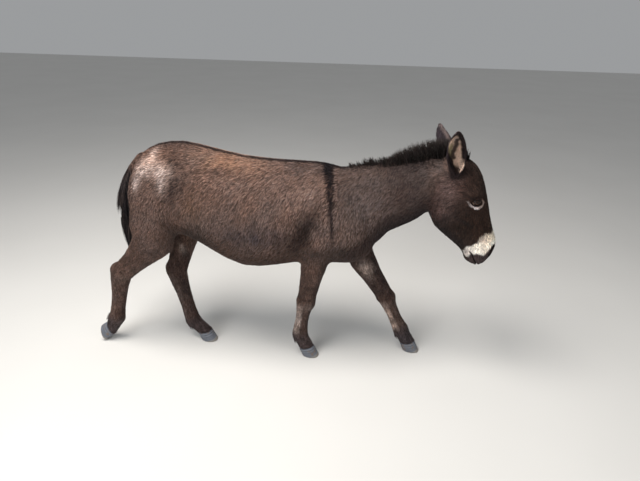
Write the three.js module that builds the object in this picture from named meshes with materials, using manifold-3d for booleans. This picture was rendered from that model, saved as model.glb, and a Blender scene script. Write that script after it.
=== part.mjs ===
// A miniature donkey at life size, walking with its head carried low.
// The body is modelled whole, in overlapping lengths, and then parted by thin cuts into the
// parts that a person would name. Millimetres, +X forward, +Y to the animal's left, +Z up.
import * as THREE from "three";
import { mergeVertices } from "three/addons/utils/BufferGeometryUtils.js";
import Module from "manifold-3d";

// ---------------------------------------------------------------- driving dimensions
const GAP = 0.35; // clear space left at every parting cut
const BIG = 900; // size of the blocks that cut one length from the next

const NECK_BEND_START = 150; // where the neck begins to turn aside, along X
const NECK_BEND_END = 500; // where the head's own straight line begins
const HEAD_TURN = THREE.MathUtils.degToRad(13); // the head's turn to the animal's right

const EYE_RADIUS = 19;
const EYE_PLACE = [643, 60, 808]; // of the left eye, before the neck bends
const EAR_LENGTH = 203;
const EAR_WIDTH = 35; // half the ear's width where it is widest
const EAR_WALL = 7;

const HOOF_LENGTH = 38; // half the ground length
const HOOF_WIDTH = 30; // half the ground width
const CORONET_LENGTH = 32;
const CORONET_WIDTH = 28;
const CORONET_BACK = -20; // how far the coronet lies behind the sole's centre
const CORONET_HEIGHT = 44;
const CORONET_SLOPE = THREE.MathUtils.degToRad(16);
const TOE_WEAR = 4; // how much of a pitched hoof is worn flat where its toe bears

const FORE_BONES = { pastern: 74, cannon: 166, forearm: 214, arm: 190 };
const HIND_BONES = { pastern: 78, cannon: 247, gaskin: 252, thigh: 210 };

// Each leg stands on one hoof. The leans are each length's slope from the upright in degrees,
// from the pastern upwards, positive where the upper end lies further forward.
// The spread is how far each joint lies from the midline, from the coronet upwards.
const LEGS = {
  fore_right: {
    hoof: [24, -50], pitch: 0, bones: FORE_BONES, leans: [-22, 7.5, 9.8, 14],
    spread: [-50, -52, -58, -66, -78],
  },
  fore_left: {
    hoof: [484, 42], pitch: 0, bones: FORE_BONES, leans: [-27, -27, -33.5, -22],
    spread: [42, 46, 58, 68, 78],
  },
  hind_right: {
    hoof: [-946, -42], pitch: 78, bones: HIND_BONES, leans: [34, 14.7, 45.4, 5],
    spread: [-42, -46, -62, -86, -88],
  },
  hind_left: {
    hoof: [-464, 10], pitch: 0, bones: HIND_BONES, leans: [-46, -14.2, 14.2, -14],
    spread: [10, 18, 44, 80, 88],
  },
};

// Sizes along a leg: [place, to the front, to the back, half the width]. A place counts the
// joints from the top, so 2 is the knee or hock, 3 the fetlock and 4 the coronet.
const FORE_SIZES = [
  [0.0, 62, 62, 40], [0.6, 62, 64, 48], [1.0, 59, 60, 48], [1.3, 48, 49, 40],
  [1.6, 42, 43, 34], [1.85, 40, 40, 32], [2.0, 40, 40, 33], [2.15, 32, 38, 30],
  [2.4, 27, 34, 24], [2.7, 27, 35, 23], [3.0, 34, 39, 28], [3.35, 31, 35, 26],
  [3.8, 33, 34, 28], [4.35, 34, 35, 29],
];
const HIND_SIZES = [
  [0.0, 84, 86, 40], [0.5, 100, 102, 58], [1.0, 80, 100, 62], [1.3, 62, 70, 48],
  [1.6, 50, 53, 37], [1.85, 45, 53, 34], [2.0, 44, 53, 35], [2.15, 39, 48, 32],
  [2.4, 33, 39, 26], [2.75, 31, 36, 24], [3.0, 35, 39, 29], [3.35, 33, 34, 26],
  [3.8, 32, 33, 28], [4.35, 33, 34, 29],
];

// Outlines in side view, each row being [top x, top z, under x, under z, half the width,
// how much wider below than above, how sharply the top is peaked].
const TRUNK = [
  [-722, 720, -722, 676, 16, 0.0, 1.0],
  [-710, 812, -712, 622, 92, 0.0, 1.0],
  [-676, 891, -686, 584, 122, 0.15, 1.1],
  [-600, 938, -600, 566, 142, 0.22, 1.1],
  [-500, 951, -500, 556, 152, 0.15, 1.1],
  [-390, 930, -382, 492, 168, 0.12, 1.1],
  [-262, 905, -255, 437, 182, 0.14, 1.1],
  [-130, 896, -130, 446, 176, 0.12, 1.15],
  [-20, 896, -10, 468, 156, 0.08, 1.25],
  [80, 890, 88, 467, 140, 0.08, 1.3],
  [165, 858, 182, 470, 130, 0.1, 1.25],
  [232, 788, 250, 508, 104, 0.05, 1.1],
  [276, 660, 281, 575, 34, 0.0, 1.0],
];
const NECK = [
  [30, 869, 150, 560, 118, 0.2, 1.3],
  [137, 880, 262, 552, 106, 0.25, 1.3],
  [235, 896, 328, 620, 82, 0.25, 1.25],
  [330, 913, 390, 656, 65, 0.2, 1.2],
  [420, 935, 438, 688, 56, 0.15, 1.15],
  [490, 952, 466, 718, 56, 0.1, 1.1],
  [545, 952, 505, 756, 50, 0.0, 1.0],
];
const HEAD = [
  [536, 966, 500, 948, 20, 0.0, 0.9],
  [583, 950, 470, 898, 56, -0.1, 0.75],
  [627, 924, 452, 846, 73, -0.12, 0.65],
  [659, 877, 455, 796, 81, -0.1, 0.6],
  [684, 807, 470, 738, 78, -0.05, 0.6],
  [704, 742, 503, 676, 66, 0.08, 0.75],
  [721, 693, 556, 634, 54, 0.08, 0.85],
  [737, 656, 600, 602, 44, 0.0, 0.85],
  [742, 622, 624, 578, 46, 0.0, 0.85],
  [733, 589, 635, 560, 44, 0.0, 0.85],
  [715, 552, 650, 545, 35, 0.0, 0.9],
  [692, 534, 672, 537, 14, 0.0, 1.0],
];
const MANE = [
  [150, 894, 150, 866, 6, 0.0, 1.0],
  [250, 922, 258, 876, 9, 0.0, 1.0],
  [335, 946, 345, 892, 9, 0.0, 1.0],
  [402, 982, 412, 912, 10, 0.0, 1.0],
  [466, 1016, 475, 930, 11, 0.0, 1.0],
  [522, 1026, 522, 938, 12, 0.0, 1.0],
  [566, 1002, 560, 934, 13, 0.0, 1.0],
  [604, 954, 585, 924, 9, 0.0, 1.0],
];
const TAIL = [
  [-652, 868, -684, 900, 20, 0.0, 1.0],
  [-688, 830, -727, 852, 21, 0.0, 1.0],
  [-712, 786, -761, 797, 23, 0.0, 1.0],
  [-727, 736, -783, 743, 25, 0.0, 1.0],
  [-736, 680, -796, 682, 28, 0.0, 1.0],
  [-744, 620, -806, 618, 30, 0.0, 1.0],
  [-752, 560, -813, 556, 31, 0.0, 1.0],
  [-762, 508, -808, 506, 25, 0.0, 1.0],
  [-778, 464, -801, 462, 10, 0.0, 1.0],
];

// Muscle and bone that swell or hollow the trunk's sides:
// [x, z, reach along x, reach along z, height].
const TRUNK_FORMS = [
  [110, 700, 80, 120, 13], // shoulder blade
  [170, 610, 55, 55, 12], // point of the shoulder
  [35, 560, 55, 60, 12], // triceps above the elbow
  [-55, 620, 40, 110, -9], // hollow behind the shoulder
  [-640, 750, 80, 110, 10], // haunch
  [-520, 900, 45, 28, 9], // hip bone
  [-455, 800, 50, 50, -10], // flank
];
const HEAD_FORMS = [
  [640, 830, 30, 22, 9], // brow over the eye
  [612, 790, 40, 16, 5], // bone under the eye
  [520, 745, 45, 55, 7], // cheek muscle
  [714, 616, 20, 20, 7], // nostril
  [662, 552, 18, 16, 3], // chin
  [560, 880, 24, 24, -6], // hollow above the eye
];

const COLOURS = {
  coat: "#4a3833",
  dark: "#241c1b",
  ear: "#5a4741",
  eye: "#120d0b",
  hoof: "#3a3c42",
};

// ---------------------------------------------------------------- solids and cuts
const wasm = await Module();
wasm.setup();

function solidOf(geometry) {
  const bare = geometry.clone();
  bare.deleteAttribute("normal");
  bare.deleteAttribute("uv");
  const merged = mergeVertices(bare, 1e-3);
  const vertProperties = new Float32Array(merged.attributes.position.array);
  const triVerts = new Uint32Array(merged.index.array);
  return new wasm.Manifold(new wasm.Mesh({ numProp: 3, vertProperties, triVerts }));
}

function geometryOf(solid) {
  const mesh = solid.getMesh();
  const geometry = new THREE.BufferGeometry();
  geometry.setAttribute("position", new THREE.BufferAttribute(mesh.vertProperties, 3));
  geometry.setIndex(new THREE.BufferAttribute(mesh.triVerts, 1));
  return geometry;
}

// A block whose near face passes through a point and whose body lies ahead along +X,
// turned down by `dip` and aside by `turn`.
function blockAhead(point, dip, turn, length = BIG, height = BIG, back = 0) {
  const block = new THREE.BoxGeometry(length + back, BIG, height);
  block.translate((length + back) / 2 - back, 0, 0);
  block.rotateY(dip);
  block.rotateZ(turn);
  block.translate(...point);
  return solidOf(block);
}

// Parts a solid in two by such a block, with the gap between the halves.
function part(solid, point, dip, turn, length, height) {
  const ahead = solid.intersect(blockAhead(point, dip, turn, length, height));
  const behind = solid.subtract(blockAhead(point, dip, turn, length, height, GAP));
  return { ahead, behind };
}

// ---------------------------------------------------------------- lofts
// Rows of numbers as one smooth curve. The first number of each row is its place.
function smooth(rows) {
  const places = rows.map((row) => row[0]);
  const values = rows.flatMap((row) => row.slice(1));
  const curve = new THREE.CubicInterpolant(places, values, rows[0].length - 1);
  return (place) => Array.from(curve.evaluate(place));
}

// A ring of points round an oval that runs from an upper to a lower point.
function oval(upper, lower, half, low, peak, sides, grow) {
  const middle = upper.clone().add(lower).multiplyScalar(0.5);
  const rise = upper.clone().sub(lower).multiplyScalar(0.5);
  rise.setLength(rise.length() + grow);
  return Array.from({ length: sides }, (_, i) => {
    const angle = (2 * Math.PI * i) / sides;
    const up = Math.cos(angle);
    const out = Math.sin(angle);
    const bulk = Math.abs(out) ** (up > 0 ? peak : 1) * (1 - low * up);
    const point = middle.clone().addScaledVector(rise, up);
    point.y += Math.sign(out) * bulk * (half + grow);
    return point;
  });
}

// The closed skin over a run of rings, each end closed to its ring's centre.
function skinOver(rings) {
  const sides = rings[0].length;
  const points = rings.flat();
  const index = [];
  for (let r = 0; r + 1 < rings.length; r += 1) {
    for (let i = 0; i < sides; i += 1) {
      const a = r * sides + i;
      const b = r * sides + ((i + 1) % sides);
      index.push(a, b, a + sides, b, b + sides, a + sides);
    }
  }
  for (const [start, flip] of [[0, true], [points.length - sides, false]]) {
    const centre = points.length;
    const sum = new THREE.Vector3();
    for (let i = 0; i < sides; i += 1) sum.add(points[start + i]);
    points.push(sum.divideScalar(sides));
    for (let i = 0; i < sides; i += 1) {
      const a = start + i;
      const b = start + ((i + 1) % sides);
      index.push(...(flip ? [b, a, centre] : [a, b, centre]));
    }
  }
  return closed(points, index);
}

// A geometry from points and triangles, turned the right way out.
function closed(points, index) {
  const position = points.flatMap((point) => point.toArray());
  const at = (i) => points[index[i]];
  let volume = 0;
  for (let i = 0; i < index.length; i += 3) {
    volume += at(i).dot(at(i + 1).clone().cross(at(i + 2)));
  }
  const ordered = volume < 0 ? [...index].reverse() : index;
  const geometry = new THREE.BufferGeometry();
  geometry.setAttribute("position", new THREE.Float32BufferAttribute(position, 3));
  geometry.setIndex(ordered);
  return geometry;
}

// A length of the body between its two outlines in side view.
function body(rows, { steps, sides, forms = [], place = (p) => p, grow = 0 }) {
  const outline = smooth(rows.map((row, i) => [i, ...row]));
  const rings = [];
  const count = (rows.length - 1) * steps;
  for (let k = 0; k <= count; k += 1) {
    const [topX, topZ, underX, underZ, half, low, peak] = outline(k / steps);
    const upper = new THREE.Vector3(topX, 0, topZ);
    const lower = new THREE.Vector3(underX, 0, underZ);
    const ring = oval(upper, lower, half, low, peak, sides, grow);
    rings.push(ring.map((point) => place(swell(point, forms, half))));
  }
  return solidOf(skinOver(rings));
}

function swell(point, forms, half) {
  const share = Math.min(1, (1.6 * Math.abs(point.y)) / half);
  let rise = 0;
  for (const [x, z, alongX, alongZ, height] of forms) {
    const far = ((point.x - x) / alongX) ** 2 + ((point.z - z) / alongZ) ** 2;
    rise += height * Math.exp(-far);
  }
  point.y += Math.sign(point.y) * share * rise;
  return point;
}

// Carries a point from the straight neck to the bent one.
function bend(point) {
  if (point.x < NECK_BEND_START) return point;
  const radius = (NECK_BEND_END - NECK_BEND_START) / HEAD_TURN;
  const turned = Math.min((point.x - NECK_BEND_START) / radius, HEAD_TURN);
  const beyond = Math.max(point.x - NECK_BEND_END, 0);
  const ahead = new THREE.Vector3(Math.cos(turned), -Math.sin(turned), 0);
  const left = new THREE.Vector3(Math.sin(turned), Math.cos(turned), 0);
  const onLine = new THREE.Vector3(
    NECK_BEND_START + radius * Math.sin(turned),
    -radius * (1 - Math.cos(turned)),
    point.z,
  );
  return onLine.addScaledVector(ahead, beyond).addScaledVector(left, point.y);
}

// ---------------------------------------------------------------- trunk, neck and head
const trunkSolid = (grow) => body(TRUNK, { steps: 2, sides: 24, forms: TRUNK_FORMS, grow });
const neckSolid = (grow) => body(NECK, { steps: 2, sides: 20, place: bend, grow });
const skull = (grow) => {
  return body(HEAD, { steps: 2, sides: 28, forms: HEAD_FORMS, place: bend, grow });
};
const mane = () => body(MANE, { steps: 1, sides: 8, place: bend });
const tail = () => body(TAIL, { steps: 2, sides: 10 });

function eye(side, grow) {
  const ball = new THREE.SphereGeometry(EYE_RADIUS + grow, 12, 8);
  const [x, y, z] = EYE_PLACE;
  const centre = bend(new THREE.Vector3(x, side * y, z));
  ball.translate(...centre.toArray());
  return solidOf(ball);
}

// An ear is a leaf rolled into a cup: nearly a tube at its root, open above, drawn to a tip.
// It stands along `axis` from its root and opens towards `facing`; `tipBow` is how far its
// tip bends to the back.
function ear(root, axis, facing, tipBow) {
  const profile = smooth([
    // place, half the width, how far round each edge reaches in degrees, bow to the back
    [0.0, 20, 176, 0],
    [0.16, 24, 168, 0],
    [0.3, 30, 128, 1],
    [0.48, EAR_WIDTH, 98, 3],
    [0.7, EAR_WIDTH * 0.88, 84, 5],
    [0.88, EAR_WIDTH * 0.56, 80, 3],
    [1.0, 6, 75, tipBow],
  ]);
  const along = axis.clone().normalize();
  const front = facing.clone().addScaledVector(along, -facing.dot(along)).normalize();
  const across = along.clone().cross(front);
  const rows = 9;
  const columns = 8;
  const sheet = (inset) => {
    const points = [];
    for (let r = 0; r <= rows; r += 1) {
      const [half, reach, bow] = profile(r / rows);
      const wall = inset * Math.min(EAR_WALL, half * 0.5);
      for (let c = 0; c <= columns; c += 1) {
        const angle = THREE.MathUtils.degToRad(reach) * ((2 * c) / columns - 1);
        const point = root.clone().addScaledVector(along, EAR_LENGTH * (r / rows) - wall * 0.3);
        point.addScaledVector(front, -(half - wall) * Math.cos(angle) * 0.8 - bow);
        point.addScaledVector(across, (half - wall) * Math.sin(angle));
        points.push(bend(point));
      }
    }
    return points;
  };
  return solidOf(sheetPair(sheet(0), sheet(1), rows, columns));
}

// Closes two like sheets of points into one wall.
function sheetPair(outer, inner, rows, columns) {
  const shift = outer.length;
  const at = (r, c) => r * (columns + 1) + c;
  const index = [];
  const quad = (a, b, c, d) => index.push(a, b, c, a, c, d);
  for (let r = 0; r < rows; r += 1) {
    for (let c = 0; c < columns; c += 1) {
      quad(at(r, c), at(r, c + 1), at(r + 1, c + 1), at(r + 1, c));
      quad(
        at(r, c) + shift, at(r + 1, c) + shift, at(r + 1, c + 1) + shift, at(r, c + 1) + shift,
      );
    }
  }
  for (let r = 0; r < rows; r += 1) {
    quad(at(r, 0), at(r + 1, 0), at(r + 1, 0) + shift, at(r, 0) + shift);
    quad(at(r + 1, columns), at(r, columns), at(r, columns) + shift, at(r + 1, columns) + shift);
  }
  for (let c = 0; c < columns; c += 1) {
    quad(at(0, c + 1), at(0, c), at(0, c) + shift, at(0, c + 1) + shift);
    quad(at(rows, c), at(rows, c + 1), at(rows, c + 1) + shift, at(rows, c) + shift);
  }
  return closed([...outer, ...inner], index);
}

// ---------------------------------------------------------------- legs and hooves
// The foot's frame: X to the toe and Z up through the sole's centre, then pitched forward.
function footPoint(leg, x, z) {
  const pitch = THREE.MathUtils.degToRad(leg.pitch);
  const turned = (a, b) => [
    a * Math.cos(pitch) + b * Math.sin(pitch),
    b * Math.cos(pitch) - a * Math.sin(pitch),
  ];
  const sunk = leg.pitch ? TOE_WEAR : 0;
  const [toeX, toeZ] = leg.pitch ? turned(HOOF_LENGTH, 0) : [0, 0];
  const [dx, dz] = turned(x, z);
  return new THREE.Vector3(leg.hoof[0] + dx - toeX, leg.hoof[1], dz - toeZ - sunk);
}

// The joints of a leg from the top down, found from the hoof upwards.
function jointsOf(leg) {
  const lengths = Object.values(leg.bones);
  const joints = [footPoint(leg, CORONET_BACK, CORONET_HEIGHT)];
  lengths.forEach((length, i) => {
    const lean = THREE.MathUtils.degToRad(leg.leans[i]);
    const next = joints[i].clone();
    next.x += length * Math.sin(lean);
    next.y = leg.spread[i + 1];
    next.z += length * Math.cos(lean);
    joints.push(next);
  });
  joints.reverse();
  const below = footPoint(leg, CORONET_BACK * 0.3, CORONET_HEIGHT * 0.3);
  return [...joints, below];
}

function legSolid(leg, sizes) {
  const joints = jointsOf(leg);
  const onBones = (place) => {
    const i = Math.min(Math.max(Math.floor(place), 0), joints.length - 2);
    return joints[i].clone().lerp(joints[i + 1], place - i);
  };
  const size = smooth(sizes);
  const places = sizes.flatMap(([place], i) => {
    const next = sizes[i + 1];
    return next ? [place, (place + next[0]) / 2] : [place];
  });
  const blend = 0.24; // how far from a joint its two lengths share their direction
  const rings = places.map((place) => {
    const [front, back, half] = size(place);
    const along = onBones(place - blend).sub(onBones(place + blend));
    const ahead = new THREE.Vector3(along.z, 0, -along.x).normalize();
    const centre = onBones(place);
    const upper = centre.clone().addScaledVector(ahead, front);
    const lower = centre.clone().addScaledVector(ahead, -back);
    return oval(upper, lower, half, 0, 0.9, 12, 0);
  });
  return solidOf(skinOver(rings));
}

// A hoof: a leaning wall on a flat sole, round at the toe and closer at the heels.
function hoof(leg) {
  const levels = [0, 0.06, 0.5, 0.94, 1];
  const bevels = [0.97, 1, 1, 0.99, 0.94];
  const rings = levels.map((level, k) => {
    const length = THREE.MathUtils.lerp(HOOF_LENGTH, CORONET_LENGTH, level) * bevels[k];
    const width = THREE.MathUtils.lerp(HOOF_WIDTH, CORONET_WIDTH, level) * bevels[k];
    return Array.from({ length: 16 }, (_, i) => {
      const angle = (2 * Math.PI * i) / 16;
      const along = Math.cos(angle);
      const across = Math.sign(Math.sin(angle)) * Math.abs(Math.sin(angle)) ** 0.85;
      const x = CORONET_BACK * level + length * along;
      const rise = CORONET_HEIGHT + Math.tan(CORONET_SLOPE) * length * along;
      const point = footPoint(leg, x, level * rise);
      point.y += width * across * (1 + 0.1 * along);
      return point;
    });
  });
  return solidOf(skinOver(rings));
}

// Parts a leg from the trunk, at its knee or hock, and at its coronet.
function legParts(leg, sizes, topCut) {
  const limb = legSolid(leg, sizes);
  const downwards = Math.PI / 2;
  const top = part(limb, topCut.point, downwards - topCut.tilt, 0);
  const joint = jointsOf(leg)[2];
  const lean = Math.PI / 2 - THREE.MathUtils.degToRad((leg.leans[1] + leg.leans[2]) / 2);
  const middle = part(top.ahead, joint.toArray(), Math.PI - lean, 0);
  const coronet = footPoint(leg, CORONET_BACK, CORONET_HEIGHT + GAP);
  const pitch = THREE.MathUtils.degToRad(leg.pitch) - CORONET_SLOPE;
  const foot = part(middle.ahead, coronet.toArray(), downwards + pitch, 0);
  const wall = hoof(leg).intersect(blockAhead([leg.hoof[0], 0, 0], -downwards, 0));
  return { root: top.behind, upper: middle.behind, lower: foot.behind, hoof: wall };
}

// ---------------------------------------------------------------- the animal
const material = (colour, roughness) => {
  return new THREE.MeshStandardMaterial({ color: colour, roughness, metalness: 0 });
};

const donkey = new THREE.Group();

function add(name, solid, colour, roughness) {
  const mesh = new THREE.Mesh(geometryOf(solid), material(colour, roughness));
  mesh.name = name;
  donkey.add(mesh);
}

const ELBOW_CUT = { point: [200, 0, 462], tilt: 0 };
const STIFLE_CUT = { point: [-620, 0, 548], tilt: THREE.MathUtils.degToRad(-4) };
const LEG_PLANS = [
  ["fore_right", FORE_SIZES, ELBOW_CUT],
  ["fore_left", FORE_SIZES, ELBOW_CUT],
  ["hind_right", HIND_SIZES, STIFLE_CUT],
  ["hind_left", HIND_SIZES, STIFLE_CUT],
];
const roots = [];
for (const [name, sizes, cut] of LEG_PLANS) {
  const parts = legParts(LEGS[name], sizes, cut);
  roots.push(parts.root);
  add(`leg_${name}_upper`, parts.upper, COLOURS.coat, 0.85);
  add(`leg_${name}_lower`, parts.lower, COLOURS.coat, 0.85);
  add(`hoof_${name}`, parts.hoof, COLOURS.hoof, 0.5);
}

const SHOULDER_CUT = { point: [196, 0, 712], dip: -0.4, length: 420, height: 400 };
const THROAT_CUT = { point: bend(new THREE.Vector3(470, 0, 830)).toArray(), dip: -0.17 };

const whole = trunkSolid(0).add(neckSolid(0)).add(skull(0));
const headParts = part(whole, THROAT_CUT.point, THROAT_CUT.dip, -HEAD_TURN);
const { point, dip, length, height } = SHOULDER_CUT;
const shoulder = [point, dip, 0, length, height];
const neckParts = part(headParts.behind, ...shoulder);
const torso = roots.reduce((sum, root) => sum.add(root), neckParts.behind);
const sockets = eye(1, GAP).add(eye(-1, GAP));

add("trunk", torso.subtract(blockAhead(...shoulder, GAP)), COLOURS.coat, 0.85);
add("neck", neckParts.ahead, COLOURS.coat, 0.85);
add("head", headParts.ahead.subtract(sockets), COLOURS.coat, 0.85);
add("eye_left", eye(1, 0), COLOURS.eye, 0.08);
add("eye_right", eye(-1, 0), COLOURS.eye, 0.08);

// The near ear opens to the side, and the far one is laid back and opens behind.
const vector = (x, y, z) => new THREE.Vector3(x, y, z);
const earRight = ear(vector(560, -56, 886), vector(-8, -80, 168), vector(0.25, -1, 0), 0);
const earLeft = ear(vector(540, 50, 872), vector(-70, 96, 142), vector(-0.6, 0.8, 0), 14);
const headAndNeck = skull(GAP).add(neckSolid(GAP));
add("ear_right", earRight.subtract(headAndNeck), COLOURS.ear, 0.85);
add("ear_left", earLeft.subtract(headAndNeck), COLOURS.ear, 0.85);
add("mane", mane().subtract(headAndNeck).subtract(trunkSolid(GAP)), COLOURS.dark, 0.9);

const TAIL_CUT = [-760, 0, 705];
const tailParts = part(tail().subtract(trunkSolid(GAP)), TAIL_CUT, Math.PI / 2, 0);
add("tail_dock", tailParts.behind, COLOURS.coat, 0.85);
add("tail_switch", tailParts.ahead, COLOURS.dark, 0.9);

// The origin is set on the floor under the middle of the animal.
const box = new THREE.Box3().setFromObject(donkey);
const centre = box.getCenter(new THREE.Vector3());
donkey.position.set(-centre.x, -centre.y, -box.min.z);
const model = new THREE.Group();
model.add(donkey);
export default model;
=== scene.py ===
# %% [markdown]
# # A small donkey, walking with its head low
#
# A museum figure of an animal is a body form, a skin drawn over it, glass eyes, cast hooves and a
# coat. This script follows that order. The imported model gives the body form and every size; the
# skin, coat, mane, tail, eyes and hooves are made around it here. Everything is in metres, with
# the head towards +X, the animal's left towards +Y and the floor at zero.

# %% The frame, and the libraries
import math

import bpy
import numpy as np
from mathutils import Matrix, Vector
from mathutils.bvhtree import BVHTree


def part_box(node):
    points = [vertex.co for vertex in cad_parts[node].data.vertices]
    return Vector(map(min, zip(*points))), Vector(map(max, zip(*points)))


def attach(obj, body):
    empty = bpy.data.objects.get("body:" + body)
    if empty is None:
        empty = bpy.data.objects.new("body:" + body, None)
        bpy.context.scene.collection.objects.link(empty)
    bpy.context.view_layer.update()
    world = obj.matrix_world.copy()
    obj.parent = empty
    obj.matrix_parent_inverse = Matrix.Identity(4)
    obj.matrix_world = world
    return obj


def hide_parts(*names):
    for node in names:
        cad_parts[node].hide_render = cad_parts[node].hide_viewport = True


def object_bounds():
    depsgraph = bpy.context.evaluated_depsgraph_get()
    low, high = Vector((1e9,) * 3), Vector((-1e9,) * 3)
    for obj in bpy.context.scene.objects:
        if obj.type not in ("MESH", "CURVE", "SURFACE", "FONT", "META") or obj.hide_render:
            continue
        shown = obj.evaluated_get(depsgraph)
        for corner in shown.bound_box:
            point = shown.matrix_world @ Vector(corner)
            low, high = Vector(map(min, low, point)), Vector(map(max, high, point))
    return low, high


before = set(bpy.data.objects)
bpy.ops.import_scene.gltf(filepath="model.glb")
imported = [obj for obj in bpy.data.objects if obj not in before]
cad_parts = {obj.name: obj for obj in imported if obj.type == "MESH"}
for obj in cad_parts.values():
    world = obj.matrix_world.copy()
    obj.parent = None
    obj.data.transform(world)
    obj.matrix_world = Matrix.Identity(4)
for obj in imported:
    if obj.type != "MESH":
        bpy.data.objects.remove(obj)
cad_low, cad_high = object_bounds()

MM = 0.001
UP = np.array([0.0, 0.0, 1.0])
rng = np.random.default_rng(7)
scene = bpy.context.scene
print("frame:", len(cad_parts), "nodes,", [round(float(v), 3) for v in cad_high - cad_low], "m")

# %% [markdown]
# ## Places on the animal
#
# Every place is measured from the box of one of the frame's nodes, so the looks stay on the body
# if the body changes. The trunk's two sides are alike, so a place on it is given once: along from
# its hind end, out from the midline and up from its underside. The head is turned to the animal's
# right and has axes of its own, with their origin midway between the eyes.

# %% Places and axes
def near(node, x, y, z):
    """The point x, y and z millimetres from the lowest corner of a node's box."""
    return np.array(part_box(node)[0]) + np.array([x, y, z]) * MM


def middle(node):
    low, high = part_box(node)
    return np.array(low + high) / 2


def unit(v):
    v = np.asarray(v, float)
    return v / (np.linalg.norm(v, axis=-1, keepdims=True) + 1e-12)


trunk_corner = near("trunk", -3, 0, 0)
mid_y = middle("trunk")[1]
eye_middle = {side: middle(f"eye_{side}") for side in ("left", "right")}
between_eyes = (eye_middle["left"] + eye_middle["right"]) / 2
eye_out = np.linalg.norm(eye_middle["left"] - eye_middle["right"]) / 2 / MM
eye_radius = (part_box("eye_left")[1].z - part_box("eye_left")[0].z) / 2 / MM
head_left = unit(eye_middle["left"] - eye_middle["right"])
head_axes = np.array([np.cross(head_left, UP), head_left, UP])


def in_trunk(points):
    """Along from the hind end, out from the midline and up from the underside, in millimetres."""
    along = points[:, 0] - trunk_corner[0]
    out = np.abs(points[:, 1] - mid_y)
    return np.stack([along, out, points[:, 2] - trunk_corner[2]], 1) / MM


WITHERS = 0.12  # from the neck's hindmost point forward to the withers


def crest_y(x):
    """The side place of the neck's crest at places along the animal."""
    poll = (near("ear_right", 51, 82, 0) + near("ear_left", 65, -9, 0)) / 2
    return np.interp(x, [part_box("neck")[0].x + WITHERS, poll[0]], [mid_y, poll[1]])


def in_head(points):
    """Ahead of, to the left of and above the point midway between the eyes, in millimetres."""
    return (points - between_eyes) @ head_axes.T / MM


def from_head(places):
    """The reverse of in_head."""
    return between_eyes + np.asarray(places, float) * MM @ head_axes


print("eyes:", round(2 * eye_out), "mm apart,", round(eye_radius, 1), "mm in radius")

# %% The joints of the legs and the lines of the ears
# Each leg's joints, in millimetres from the lowest corner of its lower length.
JOINT_PLACES = {
    "fore_right": {"elbow": (97, 25, 453), "knee": (61, 33, 242), "fetlock": (39, 39, 78)},
    "fore_left": {"elbow": (-84, 55, 401), "knee": (35, 45, 223), "fetlock": (110, 33, 75)},
    "hind_right": {"stifle": (303, 11, 509), "hock": (124, 35, 332), "fetlock": (61, 51, 93)},
    "hind_left": {"stifle": (115, 98, 548), "hock": (53, 62, 304), "fetlock": (113, 36, 64)},
}
joints = {
    leg: {joint: near(f"leg_{leg}_lower", *place) for joint, place in places.items()}
    for leg, places in JOINT_PLACES.items()
}
for leg in joints:
    joints[leg]["hoof"] = middle(f"hoof_{leg}")
# Each ear's line from its root to its tip, and the way that its opening faces.
ears = {
    "right": (near("ear_right", 51, 82, 3), near("ear_right", 23, -1, 186)),
    "left": (near("ear_left", 65, -9, -2), near("ear_left", 10, 111, 154)),
}
EAR_FACES = {"right": (0.25, -1, 0), "left": (-0.6, 0.8, 0)}
for leg, places in joints.items():
    print(leg, {name: np.round(place, 3).tolist() for name, place in places.items()})

# %% [markdown]
# ## The body form
#
# The frame's flesh is a run of faceted solids with hairline gaps at the cuts. A sculptor would
# fill those joints with putty and rub the whole form down. Here each solid is fattened by a hair
# so that they touch, a voxel remesh draws one closed surface over all of them, and each region
# is rubbed down as far as its facets are wide: much on the barrel, little on ears and feet.

# %% Small helpers for objects and modifiers
def only(*objects):
    """Selects these objects alone; the first is the active one."""
    bpy.ops.object.select_all(action="DESELECT")
    for o in objects:
        o.select_set(True)
    bpy.context.view_layer.objects.active = objects[0]


def in_edit(o, *steps):
    """Runs steps in edit mode with all of the object's mesh selected."""
    only(o)
    bpy.ops.object.mode_set(mode="EDIT")
    bpy.ops.mesh.select_all(action="SELECT")
    for run in steps:
        run()
    bpy.ops.object.mode_set(mode="OBJECT")


def with_modifier(o, kind, **settings):
    """Adds a modifier with its settings and applies it."""
    only(o)
    modifier = o.modifiers.new(kind.title(), kind)
    for key, value in settings.items():
        setattr(modifier, key, value)
    bpy.ops.object.modifier_apply(modifier=modifier.name)


def joined_copy(nodes, title):
    """One object with copies of these nodes, their loose triangles merged."""
    copies = []
    for node in nodes:
        copy = bpy.data.objects.new(title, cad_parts[node].data.copy())
        scene.collection.objects.link(copy)
        copies.append(copy)
    only(*copies)
    bpy.ops.object.join()
    whole = bpy.context.object
    whole.name = title
    whole.data.materials.clear()
    in_edit(whole, lambda: bpy.ops.mesh.remove_doubles(threshold=1e-6))
    return whole


def read(mesh, items, key, width=3, kind=float):
    """An attribute of a mesh's vertices, edges or faces as an array."""
    values = np.zeros(len(getattr(mesh, items)) * width, kind)
    getattr(mesh, items).foreach_get(key, values)
    return values.reshape(-1, width) if width > 1 else values


def points_of(o):
    """Where an object's points are."""
    return read(o.data, "vertices", "co")


def write(mesh, points):
    mesh.vertices.foreach_set("co", np.ascontiguousarray(points, np.float32).ravel())
    mesh.update()


def smooth(mesh):
    mesh.polygons.foreach_set("use_smooth", np.ones(len(mesh.polygons), bool))


# %% Join the flesh and remesh it
FLESH = [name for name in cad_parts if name.startswith(("trunk", "neck", "head", "ear_", "leg_"))]
FLESH.append("tail_dock")
VOXEL = 3.6 * MM

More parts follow.
